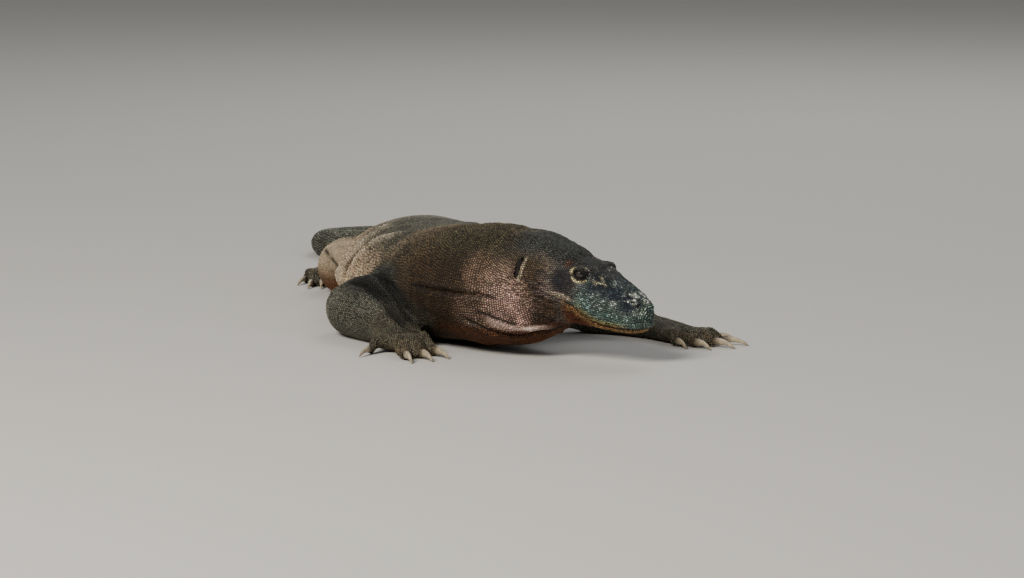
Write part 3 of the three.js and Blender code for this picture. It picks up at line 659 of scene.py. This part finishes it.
    slate = overlay(slate, ease(around, 10.2, 8.8) * ease(u, 26, 34) * 0.8, 44, 38, 32)
    slate = overlay(slate, ease(np.hypot(s - 70, v - 42), 7, 3) * ease(u, 26, 34) * 0.7, 92, 54, 40)
    slate = overlay(slate, ease(around, 6.6, 5.6) * ease(u, 26, 34), 26, 22, 20)
    brow = from_line(np.column_stack([s, u, v]), [[58, 34, 54], [68, 36, 53], [78, 37, 51], [89, 38, 48],
                                                  [102, 35, 45], [112, 33, 39]])[0]
    slate = overlay(slate, ease(brow, 4.2, 1.8) * ease(fleck + small, -0.1, 0.4) * 0.9, 196, 182, 142)
    colour = colour + (slate - colour) * on[:, None]
    # the pale rim before the ear, and painted shade in the hollow of the ear opening behind it
    rim = ease(away(head, [0, 0, 0]), 120, 90) * ease(u, 48, 56)
    colour = overlay(colour, rim * ease(np.abs(s - 9), 3.8, 1.6) * ease(np.abs(v - 17), 20, 13) * 0.75,
                     182, 168, 140)
    colour = overlay(colour, rim * ease(oval(s, v, EAR_SLIT, (4.6, 15)), 1.15, 0.8), 22, 18, 16)
    # painted shade along the cheek folds, and the oval shadow under the corner of the mouth
    for line in CHEEK_FOLDS:
        d = from_line(np.column_stack([s, u, v]), line)[0]
        colour = colour * (1 - 0.55 * np.exp(-(d / 2.0) ** 2))[:, None]
    colour = overlay(colour, ease(oval(s, v, (44, -48), (17, 8)), 1.2, 0.5) * 0.6, 74, 54, 46)
    # limbs: dark grey, olive hands and feet, pale knee
    for limb, knee in ((ARM_RIGHT, False), (ARM_LEFT, False), (LEG_RIGHT, True), (LEG_LEFT, True)):
        line = np.asarray(limb)[:, :3]
        d, t = from_line(points, line[1:])
        wide = np.interp(t, np.linspace(0, 1, len(line) - 1), np.asarray(limb)[1:, 3])
        on = ease(d / wide, 1.5, 1.1) * ease(d, 75, 55)
        colour = overlay(colour, on * (0.8 if knee else 0.9), *((112, 104, 86) if knee else (92, 92, 80)))
        colour = overlay(colour, on * ease(z, 62, 82) * (0 if knee else 0.8), 48, 48, 43)
        colour = overlay(colour, on * ease(t, 0.6, 0.85) * 0.8, 74, 69, 54)
        if knee:
            colour = overlay(colour, ease(away(points, line[3]), 88, 36) * 0.9, 176, 159, 132)
            colour = overlay(colour, ease(away(points, line[3] - [0, 0, 26]), 60, 28) * 1.0, 104, 70, 44)
    for digits in (HAND_RIGHT, HAND_LEFT, FOOT_RIGHT, FOOT_LEFT):
        for place in digits:
            way = np.array([np.cos(np.radians(place[2])), np.sin(np.radians(place[2]))]) * place[3]
            d = from_line(points, [[place[0], place[1], 14], [place[0] + way[0], place[1] + way[1], 9]])[0]
            colour = overlay(colour, ease(d, 24, 14) * 0.8, 84, 78, 62)
    # painted shade: the slack skin between upper arm and chest, where it lies in shadow, is laid in dark
    armpit_shadow_distance = from_line(points, [[0, -138, 92], [40, -122, 88], [80, -102, 70], [130, -92, 44]])[0]
    colour = overlay(colour, ease(armpit_shadow_distance, 30, 12) * 0.85, 38, 36, 31)
    colour = colour * (1 + 0.16 * patch + 0.16 * small + 0.2 * fleck)[:, None]
    # painted shade in the neck, arm and knee creases, darkened along their lines
    for line in NECK_CREASES[:3]:
        for side in mirrored_neck(line):
            colour = colour * (1 - 0.85 * np.exp(-(from_line(points, side)[0] / 3.6) ** 2))[:, None]
    for line, wide in zip(ARM_CREASES, (5, 5, 2.4, 2.0)):
        colour = colour * (1 - 0.85 * np.exp(-(from_line(points, line)[0] / wide) ** 2))[:, None]
    for line in left_right(KNEE_CREASE):
        colour = colour * (1 - 0.95 * np.exp(-(from_line(points, line)[0] / 3.0) ** 2))[:, None]
    return np.clip(colour, 0.004, 0.9)


def smooth_wear_and_ridge_highlight(points):
    """1 where the hide is stretched smooth and pale on the bent knees and the gular ridge, and on the flank's
    ridges where the pale is a painted highlight, else 0.
    """
    smooth = np.zeros(len(points))
    for ridge, share in zip(FLANK_RIDGES, (1, 0.6)):
        smooth = np.maximum(smooth, 0.7 * share * ease(from_line(points, ridge)[0], 24, 8))
    for line in mirrored_neck(GULAR_RIDGE):
        smooth = np.maximum(smooth, 0.8 * ease(from_line(points, line)[0], 7, 3))
    for leg in (LEG_RIGHT, LEG_LEFT):
        smooth = np.maximum(smooth, ease(away(points, leg[3][:3]), 80, 38))
    return smooth


def paint_points(mesh, colour):
    """Keeps one linear colour per vertex in the mesh, as the attribute that the materials read."""
    layer = mesh.color_attributes.new("tint", "FLOAT_COLOR", "POINT")
    layer.data.foreach_set("color",
                           np.column_stack([colour, np.ones(len(colour))]).astype(np.float32).ravel())


# painted shade: the skin between the scales is laid in at a quarter of the hide colour, lifted where the hide
# is worn smooth and where the flank ridges carry their painted highlight
points = read_points(skin.data)
wear_and_ridge_highlight = smooth_wear_and_ridge_highlight(points)[:, None]
paint_points(skin.data, hide_colour(points) * (0.24 + 0.5 * wear_and_ridge_highlight))


def hide_material(name, grain, relief, rough):
    """The painted colour broken up by one noise that also varies the roughness, with fine granules from a
    second noise as relief.
    """
    material = bpy.data.materials.new(name)
    material.use_nodes = True
    nodes, links = material.node_tree.nodes, material.node_tree.links
    shader = nodes["Principled BSDF"]
    tint = nodes.new("ShaderNodeAttribute")
    tint.attribute_name = "tint"
    place = nodes.new("ShaderNodeTexCoord")
    dust = nodes.new("ShaderNodeTexNoise")
    dust.inputs["Scale"].default_value = 190.0
    dust.inputs["Detail"].default_value = 4.0
    links.new(place.outputs["Object"], dust.inputs["Vector"])
    depth = nodes.new("ShaderNodeMapRange")
    depth.inputs["From Min"].default_value, depth.inputs["From Max"].default_value = 0.3, 0.7
    depth.inputs["To Min"].default_value, depth.inputs["To Max"].default_value = 0.72, 1.3
    links.new(dust.outputs["Fac"], depth.inputs["Value"])
    shade = nodes.new("ShaderNodeVectorMath")
    shade.operation = "MULTIPLY"
    links.new(tint.outputs["Color"], shade.inputs[0])
    links.new(depth.outputs["Result"], shade.inputs[1])
    links.new(shade.outputs["Vector"], shader.inputs["Base Color"])
    wear = nodes.new("ShaderNodeMapRange")
    wear.inputs["To Min"].default_value, wear.inputs["To Max"].default_value = rough - 0.1, rough + 0.14
    links.new(dust.outputs["Fac"], wear.inputs["Value"])
    links.new(wear.outputs["Result"], shader.inputs["Roughness"])
    granule = nodes.new("ShaderNodeTexVoronoi")
    granule.inputs["Scale"].default_value = grain
    links.new(place.outputs["Object"], granule.inputs["Vector"])
    bump = nodes.new("ShaderNodeBump")
    bump.invert = True
    bump.inputs["Strength"].default_value = relief
    bump.inputs["Distance"].default_value = 0.0006
    links.new(granule.outputs["Distance"], bump.inputs["Height"])
    links.new(bump.outputs["Normal"], shader.inputs["Normal"])
    shader.inputs["Specular IOR Level"].default_value = 0.25
    return material


FLESH = ["head", "jaw", "neck", "chest", "belly", "pelvis", "tail_root", "tail_mid", "tail_thin",
         "tail_tip"] + \
    [part + side for part in ("upper_arm", "forearm", "hand", "thigh", "shin", "foot") for side
     in ("_R", "_L")]
skin.data.materials.clear()
skin.data.materials.append(hide_material("skin_between_scales", 620.0, 0.7, 0.62))
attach(skin, "root")
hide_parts(*FLESH)

# ------------------------------------------------------------- the scale coat
# Small horny beads in rings round body, neck, limbs and tail, smallest on face and feet,
# each rooted in the skin and leaning back, with painted shade on the bare skin between them.
rng = np.random.default_rng(7)


def rows_on(grid, squeeze=0.84, crowding=0.98, slant=0.37):
    """Places for scales in rings round a form: rings lie squeeze x spacing apart along it, the scales
    of a ring crowding x spacing apart, and each ring is turned by slant of a scale against the one
    before, so that the scales also stand in slanting rows. The spacing is that of the region under
    each ring."""
    centre = grid.mean(1)
    length = np.concatenate([[0], np.cumsum(np.linalg.norm(np.diff(centre, axis=0), axis=1))])
    gap = scale_spacing(grid.reshape(-1, 3)).reshape(grid.shape[:2]).mean(1) * squeeze
    rows = np.concatenate([[0], np.cumsum(np.diff(length) / (0.5 * (gap[1:] + gap[:-1])))])
    at = np.interp(np.arange(0.5, rows[-1]), rows, np.arange(len(rows)))
    places, ways = [], []
    for k, where in enumerate(at):
        i, t = int(where), where % 1
        i = min(i, len(grid) - 2)
        ring = grid[i] * (1 - t) + grid[i + 1] * t
        ring = np.vstack([ring, ring[:1]])
        walk = np.concatenate([[0], np.cumsum(np.linalg.norm(np.diff(ring, axis=0), axis=1))])
        count = max(int(round(walk[-1] / (gap[i] / squeeze * crowding))), 3)
        turn = (np.arange(count) + slant * k + rng.normal(0, 0.1, count)) % count * walk[-1] / count
        places.append(np.column_stack([np.interp(turn, walk, ring[:, c]) for c in range(3)]))
        ways.append(np.tile(centre[i] - centre[i + 1], (count, 1)))
    return np.vstack(places), np.vstack(ways)


def scale_spacing(points):
    """Width of a scale, in millimetres, by region: broad on the trunk, fine on face and toes."""
    x, y, z = points.T
    head = in_head(points)
    size = 4.8 + 0.3 * ease(x, -200, -60) - 1.5 * ease(x, 120, 210) - 0.4 * ease(x, -820,
            -1000) - 1.0 * ease(np.hypot(x + 830, y - 308), 120, 20)
    for limb in (ARM_RIGHT, ARM_LEFT, LEG_RIGHT, LEG_LEFT):
        d, t = from_line(points, np.asarray(limb)[1:, :3])
        size = np.minimum(size, 4.8 - ease(d, 75, 58) * (0.9 + 0.3 * ease(t, 0.5, 0.8)))
    for digits in (HAND_RIGHT, HAND_LEFT, FOOT_RIGHT, FOOT_LEFT):
        centre = np.mean([[p[0], p[1], 12] for p in digits], axis=0)
        size = np.minimum(size, 3.4 + 1.4 * ease(away(points, centre), 70, 110))
    face = ease(head[:, 0], -34, 0) * ease(head[:, 2], -86, -70) * ease(away(head, [0, 0, 0]), 245, 228)
    size = size * (1 - face) + face * (3.3 - 0.4 * ease(head[:, 0], 60, 110))
    return np.where((z < 3.5) & (away(head, [0, 0, 0]) > 200), np.maximum(size, 6.5), size)


seeds = [rows_on(head_surface(HEAD_ALONG, 96), 0.8, 1.0), rows_on(trunk_surface(TRUNK, 10, 72)),
         rows_on(tube_surface(THROAT, 8, 48))]
for limb in (ARM_RIGHT, ARM_LEFT, LEG_RIGHT, LEG_LEFT):
    seeds += [rows_on(tube_surface(part, 8, 36), 1.05, 0.76, 0.5) for part in (limb[3:], limb[:4])]
for digit in HAND_RIGHT + HAND_LEFT + FOOT_RIGHT + FOOT_LEFT:
    seeds.append(rows_on(tube_surface(digit_rows(*digit), 5, 18), 0.85, 0.95))
rows_end = sum(len(place) for place, way in seeds)

# bare places are filled from the middles of the skin's own faces
middles = np.empty(len(skin.data.polygons) * 3, np.float32)
skin.data.polygons.foreach_get("center", middles)
middles = rng.permutation(middles.reshape(-1, 3).astype(float) * 1000 + ORIGIN)
places = np.vstack([place for place, way in seeds] + [middles])
ways = np.vstack([way for place, way in seeds] + [np.tile([-0.3, 0.0, -0.1], (len(middles), 1))])

tree = BVHTree.FromPolygons(((points - ORIGIN) / 1000).tolist(),
                            [tuple(p.vertices) for p in skin.data.polygons])
found = [tree.find_nearest(place) for place in ((places - ORIGIN) / 1000).tolist()]
spots = np.array([hit[0] for hit in found]) * 1000 + ORIGIN
outward = np.array([hit[1] for hit in found])
on_face = np.array([hit[2] for hit in found])
near = np.array([hit[3] for hit in found]) * 1000 < 8.5
size = scale_spacing(spots)

# no scale inside the eye openings, nostrils, ears and mouth line
head = in_head(spots)
s, u, v = head[:, 0], np.abs(head[:, 1]), head[:, 2]
bare = (oval(s, v, EYE[[0, 2]], (9.2, 7.2)) < 1) & (u > 24)
bare |= away(np.column_stack([s, u, v]), NOSTRIL) < 3.6
bare |= (oval(s, v, EAR_SLIT, (5.0, 15.5)) < 1) & (u > 44)
bare |= (s > 62) & (np.abs(v - np.interp(s, *np.transpose(MOUTH))) < 1.3) & (away(head, [0, 0, 0]) < 225)
for line in ARM_CREASES + [KNEE_CREASE] + [side for crease in NECK_CREASES[:3] for side
                                           in mirrored_neck(crease)]:
    d, t = from_line(spots, line)
    bare |= (d < 1.7) & (t > 0.06) & (t < 0.94)
near &= ~bare

crowd = KDTree(len(spots))
for k, spot in enumerate(spots.tolist()):
    crowd.insert(spot, k)
crowd.balance()
alive = near.copy()
reach = size * np.where(np.arange(len(spots)) < rows_end, 0.68, 0.84)
for k in np.flatnonzero(near):
    if any(alive[other] and other < k for place, other, far in crowd.find_range(spots[k], reach[k])):
        alive[k] = False
spots, outward, ways, size, on_face = spots[alive], outward[alive], ways[alive], size[alive], on_face[alive]

# every scale's place on an unwrap of the skin, kept for the baked colours
for other in bpy.context.selected_objects:
    other.select_set(False)
skin.select_set(True)
bpy.context.view_layer.objects.active = skin
bpy.ops.object.mode_set(mode="EDIT")
bpy.ops.mesh.select_all(action="SELECT")
bpy.ops.uv.smart_project(angle_limit=1.15, island_margin=0.002)
bpy.ops.object.mode_set(mode="OBJECT")
flat = np.empty(len(skin.data.loops) * 2, np.float32)
skin.data.uv_layers.active.data.foreach_get("uv", flat)
first = np.empty(len(skin.data.polygons), np.int32)
skin.data.polygons.foreach_get("loop_start", first)
corners = flat.reshape(-1, 2)
unwrap = (corners[first[on_face]] + corners[first[on_face] + 2]) / 2
skin.data.uv_layers.remove(skin.data.uv_layers.active)

# one scale, in units of the spacing: a five-sided bead with a sunken foot and a crown set back
k, after = np.arange(5), (np.arange(5) + 1) % 5
a = k * 2 * np.pi / 5
foot = np.column_stack([0.48 * np.cos(a), 0.46 * np.sin(a), np.full(5, -0.14)])
brim = np.column_stack([0.36 * np.cos(a) + 0.03, 0.33 * np.sin(a), np.full(5, 0.15)])
bead = np.vstack([foot, brim, [[0.10, 0.0, 0.27]]])
bead_loops = np.concatenate([np.column_stack([k, after, after + 5, k + 5]).ravel(),
                             np.column_stack([k + 5, after + 5, np.full(5, 10)]).ravel(), k[::-1]])
bead_starts = np.concatenate([k * 4, 20 + k * 3, [35]])

base = hide_colour(spots)
speck = rng.random(len(spots))
on_arm = ease(np.minimum(from_line(spots, np.asarray(ARM_RIGHT)[1:, :3])[0],
                         from_line(spots, np.asarray(ARM_LEFT)[1:, :3])[0]), 75, 58)
head = in_head(spots)
snout = ease(head[:, 0], 84, 108) * ease(away(head, [0, 0, 0]), 245, 228) * ease(head[:, 2], -24, -12)
base = base * (1 + snout * np.where(speck > 0.86, 1.5, np.where(speck < 0.45, -0.5, 0)))[:, None]
base = base * (1 + (1 - snout) * (1 - 0.8 * smooth_wear_and_ridge_highlight(spots))
               * np.clip(rng.normal(0, 1, len(spots)) * (0.3 - 0.12 * on_arm + 0.15
                                                         * ease(outward[:, 2], 0.4, 0.8)), -0.65,
                                                         1.4))[:, None] * (1 + 0.05 * rng.normal(0, 1,
                                                             (len(spots), 3)))
base = np.clip(base, 0.004, 0.9)
wear_and_ridge_highlight = smooth_wear_and_ridge_highlight(spots)

horn = hide_material("scale_horn", 900.0, 0.35, 0.6)
regions = {
    "scales_snout": (head[:, 0] > 66) & (away(head, [0, 0, 0]) < 245),
    "scales_head": (head[:, 0] > -34) & (head[:, 2] > -80) & (away(head, [0, 0, 0]) < 245)}
for name, limb, far in (("scales_arm_R", ARM_RIGHT, 62), ("scales_arm_L", ARM_LEFT, 62),
                        ("scales_leg_R", LEG_RIGHT, 64), ("scales_leg_L", LEG_LEFT, 64)):
    regions[name] = from_line(spots, np.asarray(limb)[1:, :3])[0] < far
    if "arm" in name:
        regions[name] |= (spots[:, 0] > 60) & (spots[:, 2] < 60) & ((spots[:, 1] > 200) if "L" in name[-1]
                else (spots[:, 1] < -70))
    else:
        regions[name] |= (spots[:, 0] > -740) & (spots[:, 0] < -540) & (spots[:,
                2] < 40) & ((spots[:, 1] > 200) if "L" in name[-1] else (spots[:, 1] < -112))
regions["scales_neck"] = spots[:, 0] > 60
for name, back in (("scales_chest", -110), ("scales_belly_front", -300), ("scales_belly_back", -480),
                   ("scales_hips", -700), ("scales_tail_root", -930)):
    regions[name] = spots[:, 0] > back
regions["scales_tail"] = np.ones(len(spots), bool)
taken = np.zeros(len(spots), bool)
for name, chosen in regions.items():
    mine = np.flatnonzero(chosen & ~taken)
    taken[mine] = True
    n = len(mine)
    up = outward[mine] / np.linalg.norm(outward[mine], axis=1, keepdims=True)
    back = ways[mine] - up * np.sum(ways[mine] * up, axis=1, keepdims=True)
    back /= np.linalg.norm(back, axis=1, keepdims=True) + 1e-9
    across = np.cross(up, back)
    wide = size[mine] * rng.uniform(0.94, 1.06, n)
    shape = bead[None] * wide[:, None, None] * np.stack([rng.uniform(0.95, 1.1, n),
                                                         rng.uniform(0.92, 1.04, n), rng.uniform(0.85,
                                                             1.25, n)], 1)[:, None, :]
    world = spots[mine][:, None] + shape[..., :1] * back[:, None] + shape[..., 1:2] * across[:,
            None] + shape[..., 2:] * up[:, None]
    world[..., 2] = np.maximum(world[..., 2], 0.0)
    mesh = bpy.data.meshes.new(name)
    mesh.vertices.add(n * 11)
    mesh.vertices.foreach_set("co", ((world.reshape(-1, 3) - ORIGIN) / 1000).astype(np.float32).ravel())
    loops = (bead_loops[None] + 11 * np.arange(n)[:, None]).ravel()
    mesh.loops.add(len(loops))
    mesh.loops.foreach_set("vertex_index", loops.astype(np.int32))
    mesh.polygons.add(n * 11)
    mesh.polygons.foreach_set("loop_start", (bead_starts[None] + 40
                                             * np.arange(n)[:, None]).ravel().astype(np.int32))
    mesh.polygons.foreach_set("use_smooth", np.ones(n * 11, bool))
    mesh.update(calc_edges=True)
    # painted light on each bead: the foot ring darkened as painted shade, the crown brightened as a painted
    # highlight, both eased towards even on worn smooth hide and the ridge highlight
    shade = np.concatenate([np.full(5, 0.12), np.full(5, 0.85), [2.2]])
    shade = shade + (np.concatenate([np.full(5, 0.7), np.full(5, 0.95), [1.05]]) - shade) * wear_and_ridge_highlight[mine][:,
            None]
    paint_points(mesh, (base[mine][:, None] * shade[..., None]).reshape(-1, 3))
    patch = unwrap[mine][:, None] + (bead[:, :2] / 0.48 * 0.0015)[None]
    layer = mesh.uv_layers.new(name="OFBake")
    layer.data.foreach_set("uv", patch.reshape(-1, 2)[loops].astype(np.float32).ravel())
    mesh.materials.append(horn)
    coat = bpy.data.objects.new(name, mesh)
    bpy.context.scene.collection.objects.link(coat)
    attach(coat, "root")

# ------------------------------------------------------------------- the eyes
# A dark brown ball with a round pupil, wet and clear over the iris, held by the lids
# so that only a level oval of it shows.
def ball_grid(centre, facing, radius, rings, sides, bulge):
    """Rings at equal steps of angle from the pole that looks outward; the cornea adds a low
    bell-shaped bulge round that pole."""
    facing = np.asarray(facing, float) / np.linalg.norm(facing)
    side = np.cross(facing, [0, 0, 1])
    side /= np.linalg.norm(side)
    up = np.cross(side, facing)
    polar = np.linspace(0.02, np.pi - 0.02, rings)[:, None, None]
    a = np.linspace(0, 2 * np.pi, sides, endpoint=False)[None, :, None]
    reach = radius + bulge * np.exp(-(polar / 0.62) ** 2)
    grid = centre + reach * (np.cos(polar) * facing + np.sin(polar) * (np.cos(a) * side + np.sin(a) * up))
    return grid, np.broadcast_to(polar, grid.shape[:2] + (1,))[..., 0]


wet = bpy.data.materials.new("wet_eye")
wet.use_nodes = True
nodes, links = wet.node_tree.nodes, wet.node_tree.links
shader = nodes["Principled BSDF"]
iris = nodes.new("ShaderNodeAttribute")
iris.attribute_name = "tint"
place = nodes.new("ShaderNodeTexCoord")
fibre = nodes.new("ShaderNodeTexNoise")
fibre.inputs["Scale"].default_value = 900.0
links.new(place.outputs["Object"], fibre.inputs["Vector"])
depth = nodes.new("ShaderNodeMapRange")
depth.inputs["To Min"].default_value, depth.inputs["To Max"].default_value = 0.5, 1.5
links.new(fibre.outputs["Fac"], depth.inputs["Value"])
shade = nodes.new("ShaderNodeVectorMath")
shade.operation = "MULTIPLY"
links.new(iris.outputs["Color"], shade.inputs[0])
links.new(depth.outputs["Result"], shade.inputs[1])
links.new(shade.outputs["Vector"], shader.inputs["Base Color"])
shader.inputs["Roughness"].default_value = 0.12
shader.inputs["Coat Weight"].default_value = 0.8
shader.inputs["Coat Roughness"].default_value = 0.04
for name, way in (("L", 1), ("R", -1)):
    centre, facing = to_world(EYE * [1, way, 1]), HEAD_TURN @ np.array([0.16, way * 1.0, 0.12])
    grid, polar = ball_grid(centre, facing, 8.2, 30, 40, 0.45)
    points, faces = closed_mesh([grid])
    eye = new_piece("eyeball_" + name, points, faces)
    polar = np.concatenate([polar.ravel(), [0.0, np.pi]])
    ring = np.tile(ink(30, 19, 12), (len(points), 1))
    ring = overlay(ring, np.exp(-((polar - 0.42) / 0.09) ** 2) * 0.6, 66, 42, 22)
    ring = overlay(ring, ease(polar, 0.36, 0.31), 6, 5, 5)
    ring = overlay(ring, ease(polar, 0.86, 1.0), 20, 15, 12)
    paint_points(eye.data, ring)
    eye.data.materials.append(wet)
    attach(eye, "root")
    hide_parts("eye_" + name)

# --------------------------------------------------------------- the eardrums
# A thin dark membrane, dished inwards, stretched across the upright slit behind the jaw.
drum_skin = hide_material("eardrum_membrane", 1400.0, 0.25, 0.5)
for name, way in (("L", 1), ("R", -1)):
    rho = np.concatenate([np.linspace(0.04, 1, 12), np.linspace(0.98, 0.04, 12)])[:, None]
    deep = np.concatenate([-1.0 + 1.1 * np.linspace(0.04, 1, 12) ** 2, np.linspace(-0.2, -1.6, 12)])[:,
            None]
    a = np.linspace(0, 2 * np.pi, 32, endpoint=False)[None, :]
    grid = np.stack([2 + 5.0 * rho * np.cos(a), way * (62.6 + deep + 0 * a), 17 - way * 14.6 * rho
                     * np.sin(a)], 2)
    points, faces = closed_mesh([to_world(grid)])
    drum = new_piece("drum_" + name, points, faces)
    paint_points(drum.data, np.tile(ink(30, 25, 22), (len(points), 1))
                 * (1 + 0.3 * mottle(points, 4, 61))[:, None])
    drum.data.materials.append(drum_skin)
    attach(drum, "root")
    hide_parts("eardrum_" + name)

# ------------------------------------------------------------------ the claws
# Curved, pointed sheaths of horn, one to a digit: dark and ringed where they leave the
# skin, pale along the middle, worn translucent brown at the tip.
horn_sheath = hide_material("claw_horn", 700.0, 0.2, 0.36)
for where, digits in (("hand_R", HAND_RIGHT), ("hand_L", HAND_LEFT), ("foot_R", FOOT_RIGHT),
                      ("foot_L", FOOT_LEFT)):
    for number, (x, y, heading, length, half, arch) in enumerate(digits, 1):
        f = np.linspace(-0.12, 1, 18)
        way = np.array([np.cos(np.radians(heading)), np.sin(np.radians(heading))])
        reach = length + 0.6 + 34 * f
        height = half * (0.84 * (1 - np.clip(f, 0, 1) ** 2.3) + 0.42 * np.clip(f, 0, 1) * (1 - f)) + 0.6
        thick = half * (0.53 * np.clip(1 - f, 0, 1) ** 0.6 + 0.03) * (1 + 0.10
                * np.exp(-((f - 0.04) / 0.05) ** 2))
        rows = np.column_stack([x + way[0] * reach, y + way[1] * reach, height, 0.78 * thick, thick])
        grid = tube_surface(rows, 1, 14)
        points, faces = closed_mesh([grid])
        claw = new_piece(f"horn_{where}_{number}", points, faces)
        along = np.concatenate([np.repeat(f, 14), [f[0], f[-1]]])
        streak = mottle(np.column_stack([along * 3,
                                         np.concatenate([np.tile(np.arange(14), 18) * 1.7, [0, 0]]),
                                         np.full(len(along), number)]), 1.0, 71)
        tone = np.tile(ink(168, 154, 128), (len(points), 1))
        tone = overlay(tone, ease(along, 0.3, -0.02) * 0.85, 74, 64, 52)
        tone = overlay(tone, ease(along, 0.7, 1.0) * 0.6, 116, 96, 72)
        paint_points(claw.data, tone * (1 + 0.22 * streak)[:, None])
        claw.data.materials.append(horn_sheath)
        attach(claw, "root")
        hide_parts(f"claw_{where}_{number}")

# ---------------------------------------------------------------- floor, light and camera
# A plain pale studio floor that curves up far away on every side.
reach = np.concatenate([np.linspace(0.02, 24, 14), 24 + 8 * np.sin(np.linspace(0.1, 1.5, 14))])
lift = np.concatenate([np.zeros(14), 8 - 8 * np.cos(np.linspace(0.1, 1.5, 14))])
turn = np.linspace(0, 2 * np.pi, 72, endpoint=False)[None, :]
bowl = np.stack([reach[:, None] * np.cos(turn), reach[:, None] * np.sin(turn), lift[:, None] + 0 * turn], 2)
rings, around = bowl.shape[:2]
i, j = np.meshgrid(np.arange(rings - 1), np.arange(around), indexing="ij")
a, b = i * around + j, i * around + (j + 1) % around
bowl_faces = np.stack([a, a + around, b + around, b], -1).reshape(-1, 4).tolist() + [list(range(around))]
floor = new_piece("studio_floor", bowl.reshape(-1, 3) * 1000 + ORIGIN, bowl_faces)
floor_paint = bpy.data.materials.new("pale_floor")
floor_paint.use_nodes = True
floor_paint.node_tree.nodes["Principled BSDF"].inputs["Base Color"].default_value = (0.60, 0.575, 0.53, 1)
floor_paint.node_tree.nodes["Principled BSDF"].inputs["Roughness"].default_value = 0.9
floor.data.materials.append(floor_paint)

world = bpy.data.worlds.new("soft_room")
world.use_nodes = True
world.node_tree.nodes["Background"].inputs["Color"].default_value = (0.80, 0.82, 0.86, 1)
world.node_tree.nodes["Background"].inputs["Strength"].default_value = 0.26
bpy.context.scene.world = world

for name, place, aim, power, size, tint in (
        ("key", (3.6, -3.2, 3.6), (0.1, 0, 0.1), 340, 2.2, (1.0, 0.96, 0.90)),
        ("fill", (5.0, 3.5, 2.4), (0.1, 0, 0.1), 60, 3.5, (0.90, 0.95, 1.0)),
        ("back", (-3.5, 1.5, 3.6), (0.0, 0, 0.1), 70, 2.5, (0.95, 0.98, 1.0))):
    lamp = bpy.data.lights.new(name, "AREA")
    lamp.energy, lamp.size, lamp.color = power, size, tint
    holder = bpy.data.objects.new(name, lamp)
    holder.location = place
    holder.rotation_euler = (Vector(aim) - Vector(place)).to_track_quat("-Z", "Y").to_euler()
    bpy.context.scene.collection.objects.link(holder)

lens = bpy.data.cameras.new("camera")
lens.lens, lens.sensor_width, lens.clip_end = 180, 36, 60
camera = bpy.data.objects.new("camera", lens)
camera.location = (8.09007809, -0.9695262, 1.04712476)
tilt, pan = np.radians(7.2), np.radians(7.0)
look = Vector((-np.cos(pan) * np.cos(tilt), np.sin(pan) * np.cos(tilt), -np.sin(tilt)))
camera.rotation_euler = look.to_track_quat("-Z", "Y").to_euler()
bpy.context.scene.collection.objects.link(camera)
bpy.context.scene.camera = camera
